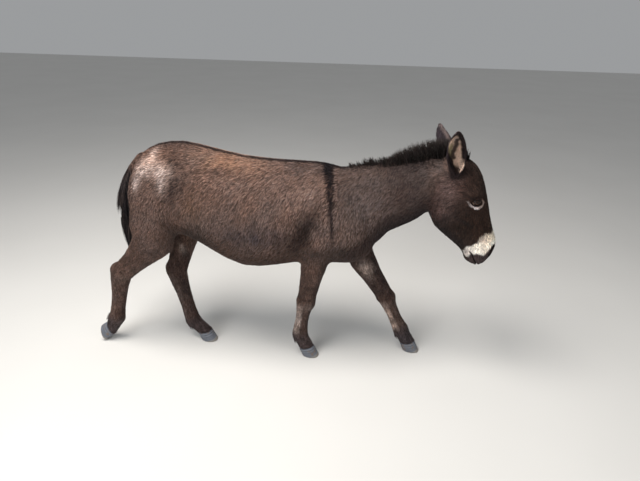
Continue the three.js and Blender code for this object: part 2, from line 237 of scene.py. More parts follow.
skin = joined_copy(FLESH + ["eye_left", "eye_right"], "skin")
with_modifier(skin, "DISPLACE", strength=0.5 * MM, mid_level=0)
with_modifier(skin, "REMESH", mode="VOXEL", voxel_size=VOXEL, use_smooth_shade=True)
print("skin:", len(skin.data.vertices), "points after the remesh")

# %% Which solid each point of the skin lies on
def solid_arrays(names):
    """The points and triangles of several nodes, and the place in the list that each comes from."""
    points, triangles, owner, start = [], [], [], 0
    for i, name in enumerate(names):
        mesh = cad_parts[name].data
        mesh.calc_loop_triangles()
        faces = np.array([t.vertices[:] for t in mesh.loop_triangles])
        points.append(points_of(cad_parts[name]))
        triangles.append(faces + start)
        owner += [i] * len(faces)
        start += len(mesh.vertices)
    return np.concatenate(points), np.concatenate(triangles), np.array(owner)


flesh_points, flesh_triangles, flesh_owner = solid_arrays(FLESH)
flesh_tree = BVHTree.FromPolygons(flesh_points.tolist(), flesh_triangles.tolist())


def node_values(points, table):
    """For each point, the value that the table gives for the nearest solid, by its name's start."""
    of_node = np.array([next(v for k, v in table.items() if n.startswith(k)) for n in FLESH], float)
    nearest = [flesh_tree.find_nearest(p)[2] for p in points.tolist()]
    return of_node[flesh_owner[nearest]]


# %% Rub the form down
def neighbours_mean(values, edges, degree):
    """The mean of each point's neighbours."""
    a, b = edges[:, 0], edges[:, 1]
    count = len(degree)
    columns = [
        np.bincount(a, values[b, k], count) + np.bincount(b, values[a, k], count)
        for k in range(values.shape[1])
    ]
    return np.stack(columns, 1) / degree[:, None]


def relaxed(values, mesh, rounds, share=0.5):
    """Values moved towards their neighbours' mean, each as many times as its own rounds say."""
    edges = read(mesh, "edges", "vertices", 2, np.int32)
    degree = np.maximum(np.bincount(edges.ravel(), minlength=len(values)), 1)
    rounds = np.broadcast_to(np.asarray(rounds, float), len(values))
    values = values.reshape(len(values), -1).astype(float)
    for k in range(int(rounds.max())):
        change = neighbours_mean(values, edges, degree) - values
        values = values + change * (share * np.clip(rounds - k, 0, 1))[:, None]
    return values if values.shape[1] > 1 else values[:, 0]


ROUNDS = {"trunk": 70, "neck": 34, "head": 10, "ear": 1.5, "leg": 9, "tail": 8}
points = points_of(skin)
rounds = relaxed(node_values(points, ROUNDS), skin.data, 12)
dock_root = np.array([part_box("tail_dock")[1].x - 0.035, mid_y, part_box("tail_dock")[1].z - 0.02])
rounds = np.maximum(rounds, 60 * np.exp(-((np.linalg.norm(points - dock_root, axis=1) / 0.05) ** 2)))
points = relaxed(points, skin.data, rounds)
write(skin.data, points)
print("rubbed down:", round(float(rounds.min()), 1), "to", round(float(rounds.max()), 1), "rounds")

# %% [markdown]
# ## Sculpting the skin
#
# What makes the form an animal is small: the blade of the shoulder, folds at elbow and flank,
# tendons down the cannons, and above all the face, with its lids, nostrils and lips. These are
# only millimetres deep, so they are modelled as a sculptor works, by raising and pressing the
# surface with soft tools. Around the eyes and the muzzle the mesh is first divided more finely.

# %% A finer mesh around the eyes and the muzzle
def divide_near(o, centre, reach):
    """Halves the edges of the faces whose middles lie within reach of a point."""
    only(o)
    bpy.context.tool_settings.mesh_select_mode = (False, False, True)
    bpy.ops.object.mode_set(mode="EDIT")
    bpy.ops.mesh.select_all(action="DESELECT")
    bpy.ops.object.mode_set(mode="OBJECT")
    centres = read(o.data, "polygons", "center")
    o.data.polygons.foreach_set("select", np.linalg.norm(centres - centre, axis=1) < reach * MM)
    bpy.ops.object.mode_set(mode="EDIT")
    bpy.ops.mesh.subdivide(number_cuts=1)
    bpy.ops.object.mode_set(mode="OBJECT")


MUZZLE_MIDDLE = from_head((50, 0, -220))
divide_near(skin, MUZZLE_MIDDLE, 75)
for side in ("left", "right"):
    divide_near(skin, eye_middle[side], 48)
    divide_near(skin, eye_middle[side], 34)
print("skin:", len(skin.data.vertices), "points after dividing")


# %% Soft tools
def bell(points, centre, reach):
    """1 at the centre, fading away over the reach along each axis."""
    return np.exp(-(((points - np.asarray(centre, float)) / np.asarray(reach, float)) ** 2).sum(1))


def step(values, start, end):
    """0 before start and 1 after end, with a smooth rise between them."""
    t = np.clip((values - start) / (end - start), 0, 1)
    return t * t * (3 - 2 * t)


def off_line(points, line):
    """Each point's distance from a line of points, and how far along the line that is, 0 to 1."""
    line = np.asarray(line, float)
    far = np.full(len(points), 1e9)
    along = np.zeros(len(points))
    lengths = np.linalg.norm(np.diff(line, axis=0), axis=1)
    starts = np.concatenate([[0], np.cumsum(lengths)])
    for i, length in enumerate(lengths):
        way = (line[i + 1] - line[i]) / length
        t = np.clip((points - line[i]) @ way, 0, length)
        gap = np.linalg.norm(points - line[i] - t[:, None] * way, axis=1)
        closer = gap < far
        far[closer] = gap[closer]
        along[closer] = (starts[i] + t[closer]) / starts[-1]
    return far, along


def ridge(points, line, width):
    """1 along a line, fading to its sides, and to its two ends."""
    far, along = off_line(points, line)
    return np.exp(-((far / width) ** 2)) * (0.35 + 0.65 * np.sin(math.pi * np.clip(along, 0, 1)))


def raised(places, swells, lines):
    """How far lists of swells and of folds raise each place, in millimetres."""
    rise = np.zeros(len(places))
    for centre, reach, height in swells:
        rise += height * bell(places, centre, reach)
    for line, width, height in lines:
        rise += height * ridge(places, line, width)
    return rise


def push(amounts):
    """Moves the skin's points along its normals by amounts in millimetres."""
    mesh = skin.data
    write(mesh, points_of(skin) + read(mesh, "vertices", "normal") * amounts[:, None] * MM)


# %% Muscles and folds of the trunk and neck
# [centre, reach, height]: places on the trunk as in_trunk gives them.
TRUNK_SWELLS = [
    [(846, 130, 262), (46, 60, 95), 5],  # blade of the shoulder
    [(800, 120, 150), (48, 60, 50), 7],  # muscle over the elbow
    [(880, 110, 170), (36, 60, 40), 5],  # point of the shoulder
    [(213, 110, 463), (46, 50, 26), 4],  # point of the hip
    [(105, 90, 440), (60, 50, 40), 3],  # croup
    [(120, 140, 250), (70, 60, 100), 5],  # thigh
    [(250, 150, 190), (40, 60, 50), 5],  # stifle
    [(250, 150, 330), (50, 60, 50), -7],  # hollow of the flank
    [(30, 60, 330), (30, 50, 50), 4],  # point of the seat
]
# [line, width, height]: folds and grooves, on the trunk's near and far sides alike.
TRUNK_LINES = [
    [[(742, 130, 345), (752, 140, 268), (738, 145, 184), (716, 135, 130)], 15, -6],
    [[(716, 135, 128), (765, 125, 92), (830, 120, 96)], 9, -4],
    [[(838, 120, 170), (850, 110, 120), (880, 90, 96)], 11, -4],
    [[(345, 150, 300), (326, 150, 250), (292, 130, 190), (262, 120, 150)], 17, -8],
    [[(318, 150, 205), (290, 140, 160), (250, 130, 128)], 13, 4],
    [[(70, 110, 380), (86, 120, 300), (84, 120, 220)], 18, -3],
    [[(862, 60, 420), (872, 90, 330), (900, 110, 240)], 22, -3],
    [[(980, 70, 330), (940, 90, 250), (905, 90, 190)], 14, -3],
]
rise = raised(in_trunk(points_of(skin)), TRUNK_SWELLS, TRUNK_LINES)
push(rise)
print("trunk: from", round(float(rise.min()), 1), "to", round(float(rise.max()), 1), "mm")


# %% Bones and tendons of the legs
def leg_axes(leg, joint):
    """A joint's place, the way up the leg below it, and the way forward across the leg."""
    lower = joints[leg]["hoof"] if joint == "fetlock" else joints[leg]["fetlock"]
    up = unit(joints[leg][joint] - lower)
    side = unit(np.cross(up, [1.0, 0.0, 0.0]))
    return joints[leg][joint], up, np.cross(side, up)


def on_leg(points, leg, joint):
    """Points ahead of, out from (either side) and up from a joint, in millimetres."""
    place, up, ahead = leg_axes(leg, joint)
    gap = (points - place) / MM
    return np.stack([gap @ ahead, np.abs(gap @ np.cross(up, ahead)), gap @ up], 1)


LEG_SWELLS = {
    "knee": [
        [(24, 8, 4), (26, 22, 24), 4.5],  # the flat front of the knee
        [(-30, 8, 18), (16, 20, 16), 6],  # the small bone behind it
        [(2, 26, -34), (30, 22, 16), -2.5],  # below the knee
        [(4, 26, 42), (30, 22, 16), -2.5],  # above it
        [(4, 30, 100), (34, 30, 46), 5],  # forearm
    ],
    "hock": [
        [(-42, 0, 34), (20, 22, 26), 7],  # point of the hock
        [(-26, 24, 70), (10, 18, 40), -7],  # hollow before the great tendon
        [(10, 28, 2), (22, 16, 24), 4],  # sides of the joint
        [(6, 26, -44), (24, 20, 16), -3],  # below it
        [(14, 30, 140), (44, 30, 50), 3],  # gaskin
    ],
    "fetlock": [
        [(-24, 6, -8), (18, 20, 18), 4],  # the pad with its tuft behind
        [(16, 0, 2), (20, 22, 18), 1.5],
        [(4, 18, -34), (20, 14, 14), -2],  # pastern
    ],
}
# [line, width, depth]: the grooves beside a cannon bone, below its upper joint.
CANNON_LINES = [[[(-9, 26, -24), (-9, 24, -120)], 6, 4.2], [[(12, 24, -20), (10, 22, -120)], 5, 1.8]]

skin_points = points_of(skin)
rise = np.zeros(len(skin_points))
for leg in joints:
    upper = "knee" if "fore" in leg else "hock"
    for joint in (upper, "fetlock"):
        places = on_leg(skin_points, leg, joint)
        close = np.linalg.norm(places, axis=1) < 220
        for centre, reach, height in LEG_SWELLS[joint]:
            rise[close] += height * bell(places[close], centre, reach)
    shin = on_leg(skin_points, leg, upper)
    for line, width, depth in CANNON_LINES:
        rise -= depth * ridge(shin, line, width) * (np.linalg.norm(shin, axis=1) < 200)
push(rise)
print("legs: from", round(float(rise.min()), 1), "to", round(float(rise.max()), 1), "mm")

# %% [markdown]
# ### The face
#
# The eye is a ball set into the head. The lids are the skin stretched over it, a few millimetres
# proud of the ball, with an almond-shaped opening whose upper lid droops. So the skin within the
# opening is sunk under the ball, and around it the skin is lifted on to a slightly larger ball.

# %% The eyes' own axes and the shape of their opening
EYE_LOOKS = unit([0.40, 0.91, 0.05])  # the way an eye faces: ahead, out, up
LID = 3.0  # thickness of a lid, in millimetres
OPENING = 17.0  # half the length of the opening
SLANT = 0.06  # how much the opening rises towards its inner corner


def eye_axes(side):
    """The ways along, up and out of an eye, in the head's axes; side is 1 for the left eye."""
    out = np.array([EYE_LOOKS[0], side * EYE_LOOKS[1], EYE_LOOKS[2]])
    along = unit(np.cross(out, UP)) * side
    return np.stack([along, np.cross(out, along) * -side, out])


def in_eye(head_places, side):
    """Places along, up and out of an eye, from the ball's middle, in millimetres."""
    gap = head_places - np.array([0, side * eye_out, 0])
    return np.stack([gap @ way for way in eye_axes(side)], 1)


def from_eye(eye_places, side):
    """The reverse of in_eye, on to the frame's metres."""
    return from_head(eye_places @ eye_axes(side) + np.array([0, side * eye_out, 0]))


def lid_edges(along):
    """The height of the upper and the lower lid's edge at each place along the opening."""
    arch = np.clip(1 - (along / OPENING) ** 2, 0, 1)
    slant = SLANT * along
    return 9.0 * arch**0.7 + slant, -9.2 * arch**0.7 + slant


def inside_opening(eye_points):
    """How far each point lies inside the opening's edge, in millimetres; negative outside it."""
    upper, lower = lid_edges(eye_points[:, 0])
    inside = np.minimum(upper - eye_points[:, 1], eye_points[:, 1] - lower)
    beyond = np.abs(eye_points[:, 0]) - OPENING
    return np.where(beyond > 0, -np.hypot(beyond, eye_points[:, 1] - SLANT * eye_points[:, 0]), inside)


# %% Lids
def lid_surface(eye_points, ball):
    """How far out a ball's surface lies at each point's place along and up."""
    flat = (eye_points[:, :2] ** 2).sum(1)
    return np.sqrt(np.maximum(ball**2 - flat, 0))


skin_points = points_of(skin)
head_points = in_head(skin_points)
for side in (1, -1):
    eye_points = in_eye(head_points, side)
    reach = np.linalg.norm(eye_points, axis=1)
    close = np.nonzero((reach < 46) & (eye_points[:, 2] > 0))[0]
    local = eye_points[close]
    flat = np.hypot(local[:, 0], local[:, 1])
    lifted = np.maximum(local[:, 2], lid_surface(local, eye_radius + LID))
    skirt = 1 - step(flat, 19, 34)
    out = local[:, 2] + (lifted - local[:, 2]) * skirt
    inside = inside_opening(local)
    sunk = lid_surface(local, eye_radius) - 3.5
    out += (np.minimum(sunk, out) - out) * step(inside, -0.5, 0.7)
    out += 0.9 * np.exp(-(((inside + 2.2) / 1.5) ** 2))  # the rolled rim of the lids
    upper, lower = lid_edges(local[:, 0])
    beside = step(local[:, 0], -34, -20) * (1 - step(local[:, 0], 14, 26))
    for edge, far, depth, width in ((upper, 7.5, -2.2, 1.8), (upper, 15, -1.3, 2.4), (lower, -8, -1.3, 2.2)):
        fold = edge + far - 0.010 * local[:, 0] ** 2
        out += depth * np.exp(-(((local[:, 1] - fold) / width) ** 2)) * beside
    moved = eye_points[close].copy()
    moved[:, 2] = out
    skin_points[close] = from_eye(moved, side)
write(skin.data, skin_points)
print("lids:", len(close), "points moved round each eye")

# %% Bones of the face, cheeks and muzzle
# Places as in_head gives them, with the left side's sign; both sides are alike.
FACE_SWELLS = [
    [(-6, 62, 31), (28, 22, 13), 3.5],  # brow
    [(-48, 60, 48), (20, 30, 18), -4],  # hollow above the eye
    [(-110, 50, -60), (48, 40, 60), 4],  # cheek muscle
    [(30, 40, -70), (26, 22, 40), -3],  # side of the nose bone
    [(-10, 50, -120), (30, 30, 34), -3],  # hollow before the cheek
    [(66, 40, -172), (24, 22, 20), 3],  # swell above the nostril
    [(-2, 20, -250), (18, 24, 16), 4],  # chin
    [(44, 30, -240), (22, 26, 18), 3],  # upper lip
]
FACE_LINES = [
    [[(-70, 78, -50), (-30, 72, -72), (10, 60, -96)], 9, 3.5],  # ridge below the eye
    [[(-60, 76, -72), (-24, 66, -94), (6, 56, -116)], 10, -2],
    [[(-150, 50, 20), (-158, 50, -40), (-140, 45, -90), (-105, 40, -130)], 10, -5],  # jaw and neck
    [[(54, 45, -184), (58, 44, -205), (54, 42, -224)], 3.2, -2.4],  # fold behind the nostril
    [[(34, 46, -168), (50, 44, -172), (62, 38, -168)], 2.6, -1.2],  # creases above it
    [[(28, 46, -181), (42, 46, -184), (50, 44, -180)], 2.4, -1.0],
    [[(8, 42, -196), (20, 44, -190), (34, 45, -192)], 2.6, -1.0],
    [[(64, 40, -228), (50, 44, -238), (44, 44, -252)], 3.0, -1.1],
]
MOUTH = [(4, -208), (19, -218), (27, -234), (36, -250), (44, -266), (48, -290)]
NOSTRIL = [(93, 26, -180), (88, 33, -190), (83, 34, -204), (84, 27, -220)]

def folded(head_places):
    """Places in the head with those on its right laid over those on its left."""
    return head_places * [1, 0, 1] + np.abs(head_places) * [0, 1, 0]


def off_mouth(both):
    """How far places lie from the mouth's line, and how far along it from its corner."""
    return off_line(both[:, [0, 2]], MOUTH)


both = folded(in_head(points_of(skin)))
rise = raised(both, FACE_SWELLS, FACE_LINES)
mouth_far, mouth_along = off_mouth(both)
mouth = step(mouth_along, 0, 0.12) * (both[:, 2] < -180)
rise -= 5.5 * np.exp(-((mouth_far / 2.0) ** 2)) * mouth
rise += 1.6 * np.exp(-(((mouth_far - 6) / 3.6) ** 2)) * mouth
nostril_far = off_line(both, NOSTRIL)[0]
rise += 2.0 * np.exp(-(((nostril_far - 10) / 3.5) ** 2))
push(rise)

skin_points = points_of(skin)
head_points = in_head(skin_points)
inwards = np.tile([-0.62, -0.35, 0.70], (len(both), 1))
inwards[:, 1] *= np.sign(head_points[:, 1])
carved = 15 * (1 - step(nostril_far, 2.0, 8.5))
skin_points += carved[:, None] * MM * inwards @ head_axes
write(skin.data, skin_points)
print("face: nostrils", round(float(carved.max()), 1), "mm deep")

# %% [markdown]
# ## The coat's depth
#
# The solids reach to the tips of the coat, so the bare skin is sunk inside them by the coat's
# depth: most on the trunk, hardly at all on the muzzle, the eyelids and inside the ears.

# %% Sink the skin by the coat's depth
def near_eyes(head_places, reach):
    """1 at either eye, fading away over the reach."""
    return sum(bell(head_places, (0, side * eye_out, 0), reach) for side in (1, -1))


COAT_DEPTH = {"trunk": 3.6, "neck": 3.2, "head": 2.2, "ear": 0.6, "leg": 2.2, "tail": 2.5}
skin_points = points_of(skin)
depth = relaxed(node_values(skin_points, COAT_DEPTH), skin.data, 30)
head_points = in_head(skin_points)
muzzle = step(-head_points[:, 2], 120, 175) * step(head_points[:, 0], -80, -40)
depth = depth * (1 - 0.75 * np.clip(muzzle + near_eyes(head_points, (34, 34, 30)), 0, 1))
push(-depth)
print("sunk by", round(float(depth.min()), 1), "to", round(float(depth.max()), 1), "mm")

# %% [markdown]
# ## One mesh, finest where it matters
#
# The voxel mesh is as fine on the barrel as on the lips. A collapse that is told where to work
# thins the trunk and the legs and leaves the face and ears alone. Then the skin is unwrapped, so
# that each tuft of the coat can later be given a patch of its own beside its root.

# %% Thin the mesh and unwrap it
SKIN_TRIANGLES = 186_000


def thin(o, share_by_point, triangles):
    """Collapses a mesh to a number of triangles, most where the share is near 1."""
    group = o.vertex_groups.new(name="thin")
    for level in np.linspace(0, 1, 11):
        members = np.nonzero(np.abs(share_by_point - level) <= 0.05)[0]
        group.add(members.tolist(), float(level), "REPLACE")
    in_edit(o, lambda: bpy.ops.mesh.quads_convert_to_tris(quad_method="BEAUTY", ngon_method="BEAUTY"))
    ratio = triangles / len(o.data.polygons)
    with_modifier(o, "DECIMATE", ratio=ratio, vertex_group="thin", vertex_group_factor=0.6)
    o.vertex_groups.clear()


THIN_SHARE = {"trunk": 1, "neck": 1, "head": 0.3, "ear": 0.3, "leg": 0.8, "tail": 0.9}
skin_points = points_of(skin)
share = relaxed(node_values(skin_points, THIN_SHARE), skin.data, 20)
share = share * (1 - np.clip(near_eyes(in_head(skin_points), (50, 50, 50)), 0, 1))
thin(skin, share, SKIN_TRIANGLES)
smooth(skin.data)
in_edit(skin, lambda: bpy.ops.uv.smart_project(angle_limit=1.15, island_margin=0.004, scale_to_bounds=True))
skin.data.uv_layers[0].name = "OFBake"
print("skin:", len(skin.data.polygons), "triangles")

# %% The finished skin as arrays
def inside_frame(points):
    """Keeps points inside the frame's own box."""
    return np.clip(points, np.array(cad_low) + 0.1 * MM, np.array(cad_high) - 0.1 * MM)


write(skin.data, inside_frame(points_of(skin)))
skin_points = points_of(skin)
skin_normals = read(skin.data, "vertices", "normal")
skin_faces = read(skin.data, "polygons", "vertices", 3, np.int32)
skin_uv = read(skin.data.uv_layers["OFBake"], "data", "uv", 2).reshape(-1, 3, 2)
skin_tree = BVHTree.FromPolygons(skin_points.tolist(), skin_faces.tolist())

# %% [markdown]
# ## Markings
#
# A dun or brown donkey wears a dark line down its back, crossed at the withers by a stripe down
# each shoulder, with a pale muzzle, pale rings round the eyes, dark ear rims and paler insides to
# its legs. Besides these, light and shade are painted in: painted shade in the folds, hollows and
# undersides and on the insides of the legs, painted sunlight on the rump and painted highlights on
# the joints. The markings are one function of place on the body. The skin and every tuft ask it for
# their colour, so that they always agree.

# %% Colours
def paint(code):
    """A colour written as on a paint chart, as linear light."""
    parts = np.array([int(code[i : i + 2], 16) for i in (0, 2, 4)]) / 255
    return np.where(parts <= 0.04045, parts / 12.92, ((parts + 0.055) / 1.055) ** 2.4)


BODY = paint("725a50")
CROUP = paint("6e5144")
NECK = paint("5f4f49")
# The neck's darker underside: partly the coat's colour, partly painted shade.
THROAT_TONE_AND_SHADE = paint("3d3230")
# Painted shade, for folds, hollows, undersides and the insides of the legs; the forearm bars use it as their dark
# hair.
SHADE = paint("241b1b")
# Painted shade for the belly and the other undersides.
BELLY_SHADE = paint("33251f")
# The loin's reddish coat with a painted sheen.
LOIN_RED_AND_SHEEN = paint("96735f")
FLANK = paint("7c5d4b")
# Painted shade low on the barrel.
LOW_SIDE_SHADE = paint("423839")
SHOULDER = paint("88726a")
# Painted shade in the fold behind the elbow.
ELBOW_SHADE = paint("1a100d")
FACE = paint("30221c")
CHEEK = paint("604e4b")
JAW = paint("4a332d")
CROSS = paint("171214")
MANE = paint("130d0b")
MUZZLE = paint("ebe1d4")
CREAM = paint("e0d0b8")
LIPS = paint("403534")
PINK = paint("b39a90")
RING = paint("f0e5e4")
RING_GREY = paint("8e7a70")
WET = paint("120d0c")
EAR_INSIDE = paint("cfb09b")
EAR_HAZE = paint("a08c6c")
EAR_RIM = paint("2a2020")
EAR_BACK = paint("30272a")
LEG = paint("57433b")
THIGH = paint("7b655d")
LEG_INSIDE = paint("aa958a")
FOOT = paint("433939")
# Painted sunlight, for the bright patches on the rump.
SUNLIT_PATCH = paint("dabdaf")


def toward(tones, colour, share):
    """Tones mixed with a colour by a share for each point."""
    return tones + (colour - tones) * np.clip(share, 0, 1)[:, None]


def patched(tones, places, patches, edge=1):
    """Tones with patches laid over them, each a middle, a reach, a colour and a strength."""
    for centre, reach, colour, strength in patches:
        tones = toward(tones, colour, bell(places, centre, reach) * strength * edge)
    return tones


def graded(share, values):
    """A list of values read at shares of the way along it."""
    return np.interp(share, np.linspace(0, 1, len(values)), values)


def ripple(points, size, seed):
    """A smooth wandering from -1 to 1, with waves about size millimetres long."""
    ways = unit(np.random.default_rng(seed).normal(size=(7, 3)))
    turns = np.random.default_rng(seed + 1).uniform(0, 6.28, 7)
    waves = np.sin(points / MM @ ways.T * (6.28 / size) * np.linspace(0.7, 1.5, 7) + turns)
    return waves.sum(1) / 3.2


# %% The markings, with painted shade and light
# Places on the trunk as in_trunk gives them. Patches: middle, reach, colour, strength.
# The dark patches are painted shade: along the back and croup, round the hip, in the flank's hollow, on the chest,
# on the neck where the head shades it, at the elbow and low on the barrel and belly. The pale patches on the rump
# are painted sunlight, and the loin's reddish patch is its coat's colour with a painted sheen.
TRUNK_PATCHES = [
    [(430, 50, 455), (130, 60, 40), LOIN_RED_AND_SHEEN, 0.8],
    [(298, 160, 290), (40, 60, 70), FLANK, 0.6],
    [(556, 170, 196), (156, 60, 46), LOW_SIDE_SHADE, 0.75],
    [(745, 109, 370), (50, 50, 60), SHOULDER, 0.5],
    [(740, 20, 450), (110, 50, 22), SHADE, 0.45],
    [(720, 60, 430), (90, 50, 34), NECK, 0.5],
    [(180, 20, 508), (90, 40, 24), SHADE, 0.5],
    [(60, 20, 440), (50, 40, 60), SHADE, 0.4],
    [(235, 100, 460), (50, 60, 50), SHADE, 0.45],
    [(238, 138, 375), (34, 60, 56), SHADE, 0.7],
    [(210, 145, 320), (40, 60, 50), SHADE, 0.45],
    [(120, 150, 300), (60, 60, 60), CROUP, 0.5],
    [(406, 94, 427), (50, 30, 14), SHADE, 0.6],
    [(680, 150, 150), (50, 60, 50), BELLY_SHADE, 0.7],
    [(710, 150, 168), (42, 60, 80), ELBOW_SHADE, 1.0],
    [(145, 150, 225), (70, 60, 56), THIGH, 0.6],
    [(1131, 79, 350), (70, 60, 60), SHADE, 0.6],
    [(1180, 40, 480), (90, 70, 50), SHADE, 0.2],
    [(985, 110, 215), (56, 60, 44), SHADE, 0.45],
    [(140, 62, 478), (17, 32, 28), SUNLIT_PATCH, 0.75],
    [(124, 84, 442), (36, 42, 26), SUNLIT_PATCH, 0.85],
    [(88, 92, 416), (30, 42, 19), SUNLIT_PATCH, 0.8],
    [(174, 110, 422), (42, 42, 27), SUNLIT_PATCH, 0.85],
    [(76, 111, 377), (20, 32, 27), SUNLIT_PATCH, 0.7],
    [(188, 134, 378), (18, 40, 32), SUNLIT_PATCH, 0.45],
]
# Folds darkened with painted shade: line, half width, colour, strength.
TRUNK_FOLD_SHADE = [
    [
        [(778, 146, 336), (766, 148, 300), (750, 152, 258), (733, 154, 218), (721, 150, 175), (712, 140, 115)],
        32, ELBOW_SHADE, 1.0,
    ],
    [[(772, 140, 129), (830, 131, 128), (889, 129, 132), (929, 103, 103)], 11, ELBOW_SHADE, 0.45],
    [[(905, 118, 120), (935, 118, 168), (985, 108, 210)], 14, SHADE, 0.5],
    [[(320, 155, 193), (274, 123, 158), (252, 125, 175)], 10, SHADE, 0.5],
]
# The shoulder stripe, from the withers down, and its half width there.
CROSS_LINE = [
    (820, 20, 446), (826, 59, 420), (829, 88, 390), (829, 111, 358), (833, 128, 324), (836, 142, 289),
    (839, 149, 252), (842, 150, 211), (843, 145, 170), (841, 138, 136),
]
CROSS_HALF = [24, 21, 18, 14, 10, 7, 5, 4, 4, 3]
# The line below which the chest and the underside of the neck are darkened with painted shade.
SHADE_BELOW_LINE = [
    (860, 108), (908, 160), (954, 184), (1001, 234), (1018, 276), (1093, 306), (1156, 354), (1260, 408),
]


def trunk_marks(tones, points, normals):
    """The trunk's and neck's colours, the stripe along the back and the shoulder cross, with
    painted shade below and in the folds and hollows, and painted sunlight on the rump.
    """
    place = in_trunk(points)
    along, out, up = place.T
    wander = ripple(points, 60, 3)
    tones = toward(tones, CROUP, step(-along, -420, -120) * step(up, 250, 420) * 0.8)
    tones = toward(tones, NECK, step(along, 820, 900))
    # The neck darker towards its underside: partly its coat, partly painted shade.
    tones = toward(tones, THROAT_TONE_AND_SHADE, step(along, 930, 1120) * (1 - 0.75 * step(up, 370, 450)))
    edge = np.clip(1 + 0.3 * wander + 0.25 * ripple(points, 24, 9), 0.4, 1.6)
    tones = patched(tones, place, TRUNK_PATCHES, edge)
    # Painted shade: the more the skin faces down, the darker it is.
    under = step(-normals[:, 2], 0.0, 0.55)
    tones = toward(tones, BELLY_SHADE, under * 0.9)
    # Painted shade along the folds.
    for line, half, colour, strength in TRUNK_FOLD_SHADE:
        tones = toward(tones, colour, ridge(place, line, half) * strength)
    # Painted shade below that line, on the chest and under the neck.
    edge_up = np.interp(along, *np.array(SHADE_BELOW_LINE).T)
    below = step(edge_up - up + 8 * wander, -6, 26) * step(along, 830, 900)
    tones = toward(tones, SHADE, below)
    eel = (1 - step(out + 2 * wander, 9, 17)) * step(normals[:, 2], 0.2, 0.6) * (1 - step(along, 880, 980))
    tones = toward(tones, CROSS, eel * 0.85)
    beside = np.abs(points[:, 1] - crest_y(points[:, 0])) / MM
    crest_dark = (1 - step(beside + 4 * wander, 12, 52)) * step(along, 930, 1080)
    crest_dark = crest_dark * step(normals[:, 2], -0.1, 0.4)
    tones = toward(tones, CROSS, crest_dark * 0.7)
    far, down = off_line(place, CROSS_LINE)
    wide = graded(down, CROSS_HALF)
    stripe = 1 - step(far + 2 * wander, wide - 5, wide + 6)
    return toward(tones, CROSS, stripe * (1 - 0.4 * step(down, 0.7, 1.0)))


# The pale muzzle's outline and the pale ring round an eye, ahead and up as in_head gives them.
PALE_MUZZLE = [
    (150, -112), (95, -120), (67, -127), (50, -132), (39, -143), (34, -161), (26, -174), (9, -185), (-8, -196),
    (-11, -216), (-8, -232), (3, -236), (14, -222), (28, -215), (46, -214), (60, -214), (70, -205), (78, -184),
    (95, -176), (150, -176),
]
EYE_RING = [
    (-24, 82, 5), (-20, 82, -2), (-14, 80, -9), (0, 73, -19), (14, 63, -22), (27, 54, -14), (30, 51, -1),
    (22, 59, 12),
]
RING_HALF = [0.6, 1.0, 1.8, 4.0, 4.0, 3.0, 2.6, 1.8]
RING_BRIGHT = [0.4, 0.9, 1.0, 1.0, 0.45, 0.1, 0.1, 0.0]
# Patches of the face: middle, reach, colour, strength.
FACE_PATCHES = [
    [(-101, 76, 42), (46, 40, 50), CHEEK, 0.8],
    [(-110, 70, -30), (44, 40, 50), CHEEK, 0.55],
    [(-142, 54, -70), (36, 40, 40), JAW, 0.7],
    [(-58, 80, 50), (26, 30, 20), JAW, 0.3],
    [(-72, 80, 96), (36, 30, 16), CROSS, 0.6],
    [(-150, 54, 10), (30, 40, 60), JAW, 0.35],
    [(-156, 46, 98), (44, 50, 36), NECK, 0.9],
    [(-170, 56, 50), (26, 50, 46), NECK, 0.6],
]


def inside_outline(flat, outline):
    """How far flat points lie inside a closed outline; negative outside it."""
    closed = np.array([*outline, outline[0]], float)
    within = np.zeros(len(flat), bool)
    for (x0, y0), (x1, y1) in zip(closed, closed[1:]):
        crossed = x0 + (x1 - x0) * (flat[:, 1] - y0) / (y1 - y0 + 1e-9)
        within ^= ((y0 > flat[:, 1]) != (y1 > flat[:, 1])) & (flat[:, 0] < crossed)
    return np.where(within, 1, -1) * off_line(flat, closed)[0]


